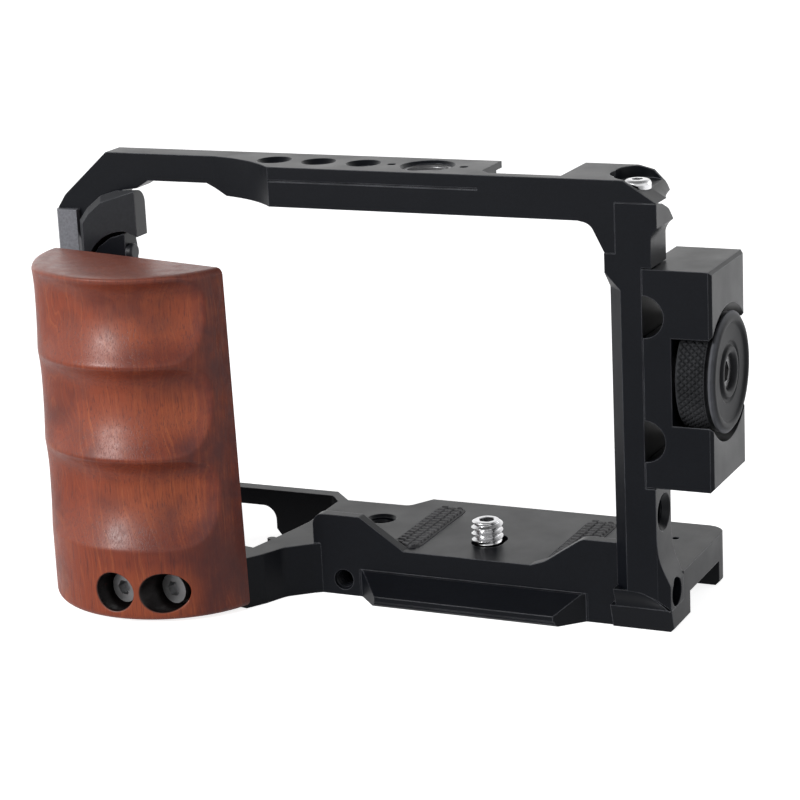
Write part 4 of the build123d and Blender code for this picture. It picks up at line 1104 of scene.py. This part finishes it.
def make_floor(stage):
    """A pale disc under the cage: rings about its middle, with a glow that only the eye sees."""
    finish, tree, shader, place = new_finish("floor_paper")
    tone = spread(tree, noise(tree, place, 900, 3.0, 0.6), 0.2, 0.8, 0.985, 1.0)
    tree.links.new(scaled(tree, stage.floor_colour, tone), shader.inputs["Base Color"])
    shader.inputs["Roughness"].default_value = 0.9
    shader.inputs["Specular IOR Level"].default_value = 0.1
    shader.inputs["Emission Color"].default_value = (1, 1, 1, 1)
    glow = product(tree, floor_light(tree, place, stage), stage.floor_glow)
    tree.links.new(glow, shader.inputs["Emission Strength"])
    turn = np.linspace(0, TURN, 96, endpoint=False)
    radius = np.array([0, 0.05, 0.2, 0.6, 1.5, 4.0])[:, None]
    points, faces = turned(radius, cad_low.z - 0.02 * MM, turn)
    mesh = bpy.data.meshes.new("floor")
    mesh.from_pydata(points, [], faces.tolist())
    mesh.materials.append(finish)
    floor = new_object("floor", mesh)


def make_room(strength):
    """White to the eye and to reflections near the horizon, darker overhead, dim to surfaces."""
    world = bpy.data.worlds.new("studio")
    bpy.context.scene.world = world
    world.use_nodes = True
    tree = world.node_tree
    tree.nodes.clear()
    seen, mirrored = ray_kinds(tree)
    rise = split(tree, add_node(tree, "ShaderNodeTexCoord").outputs["Generated"])["Z"]
    horizon_light, overhead_light = 1.5, 0.35
    overhead = spread(tree, rise, 0.45, 0.85, horizon_light, overhead_light)
    light = add_node(tree, "ShaderNodeMix", {0: mirrored, 2: strength, 3: overhead}).outputs[0]
    light = add_node(tree, "ShaderNodeMix", {0: seen, 2: light, 3: 1.0}).outputs[0]
    inputs = {"Color": (1, 1, 1, 1), "Strength": light}
    background = add_node(tree, "ShaderNodeBackground", inputs)
    add_node(tree, "ShaderNodeOutputWorld", {"Surface": background.outputs[0]})


def make_camera(stage):
    """A camera on the line of its azimuth and elevation, turned by its roll."""
    a, e, r = stage.azimuth, stage.elevation, stage.roll
    back = Vector((math.sin(a) * math.cos(e), -math.cos(a) * math.cos(e), math.sin(e)))
    level = Vector((math.cos(a), math.sin(a), 0))
    upright = back.cross(level)
    right = level * math.cos(r) + upright * math.sin(r)
    up = upright * math.cos(r) - level * math.sin(r)
    data = bpy.data.cameras.new("camera")
    data.sensor_width = SENSOR_MM
    data.lens = FOCAL_PIXELS / PICTURE_WIDTH * SENSOR_MM
    camera = new_object("camera", data)
    matrix = Matrix((right, up, back)).transposed().to_4x4()
    matrix.translation = Vector(stage.place)
    camera.matrix_world = matrix
    bpy.context.scene.camera = camera


class CAGE_OT_studio(bpy.types.Operator):
    """Sets up the floor, the light and the camera"""

    bl_idname = "cage.studio"
    bl_label = "Studio"

    def execute(self, context):
        stage = context.scene.cage_stage
        make_floor(stage)
        make_room(stage.room_strength)
        middle = (cad_low + cad_high) / 2
        add_soft_box("key_light", stage.key_power, stage.key_size, stage.key_place, middle)
        add_soft_box("fill_light", stage.fill_power, stage.fill_size, stage.fill_place, middle)
        make_camera(stage)
        context.scene.view_settings.view_transform = "Standard"
        return {"FINISHED"}


class CAGE_PT_looks(bpy.types.Panel):
    """Sidebar panel with the settings and the steps in order"""

    bl_idname = "CAGE_PT_looks"
    bl_label = "Camera Cage"
    bl_space_type = "VIEW_3D"
    bl_region_type = "UI"
    bl_category = "Camera Cage"

    def draw(self, context):
        for step in STEPS:
            self.layout.operator(step.bl_idname)
        for name, kind in SETTINGS.items():
            box = self.layout.box()
            box.label(text=kind.__doc__)
            for key in kind.__annotations__:
                box.prop(getattr(context.scene, name), key)


SETTINGS = {
    "cage_finishes": CageFinishSettings,
    "cage_grip": CageGripSettings,
    "cage_knob": CageKnobSettings,
    "cage_screw": CageScrewSettings,
    "cage_pads": CagePadSettings,
    "cage_trim": CageTrimSettings,
    "cage_stage": CageStageSettings,
}
STEPS = (
    CAGE_OT_frame_finishes,
    CAGE_OT_wood_grip,
    CAGE_OT_thumb_knob,
    CAGE_OT_camera_screw,
    CAGE_OT_seat_pads,
    CAGE_OT_trim,
    CAGE_OT_thread_linings,
    CAGE_OT_studio,
)


def register():
    for kind in (*SETTINGS.values(), *STEPS, CAGE_PT_looks):
        bpy.utils.register_class(kind)
    for name, kind in SETTINGS.items():
        setattr(bpy.types.Scene, name, bpy.props.PointerProperty(type=kind))


def unregister():
    for name in SETTINGS:
        delattr(bpy.types.Scene, name)
    for kind in reversed((*SETTINGS.values(), *STEPS, CAGE_PT_looks)):
        bpy.utils.unregister_class(kind)


def main():
    register()
    bpy.ops.cage.frame_finishes()
    bpy.ops.cage.wood_grip()
    bpy.ops.cage.thumb_knob()
    bpy.ops.cage.camera_screw()
    bpy.ops.cage.seat_pads()
    bpy.ops.cage.trim()
    bpy.ops.cage.thread_linings()
    bpy.ops.cage.studio()


if __name__ == "__main__":
    main()
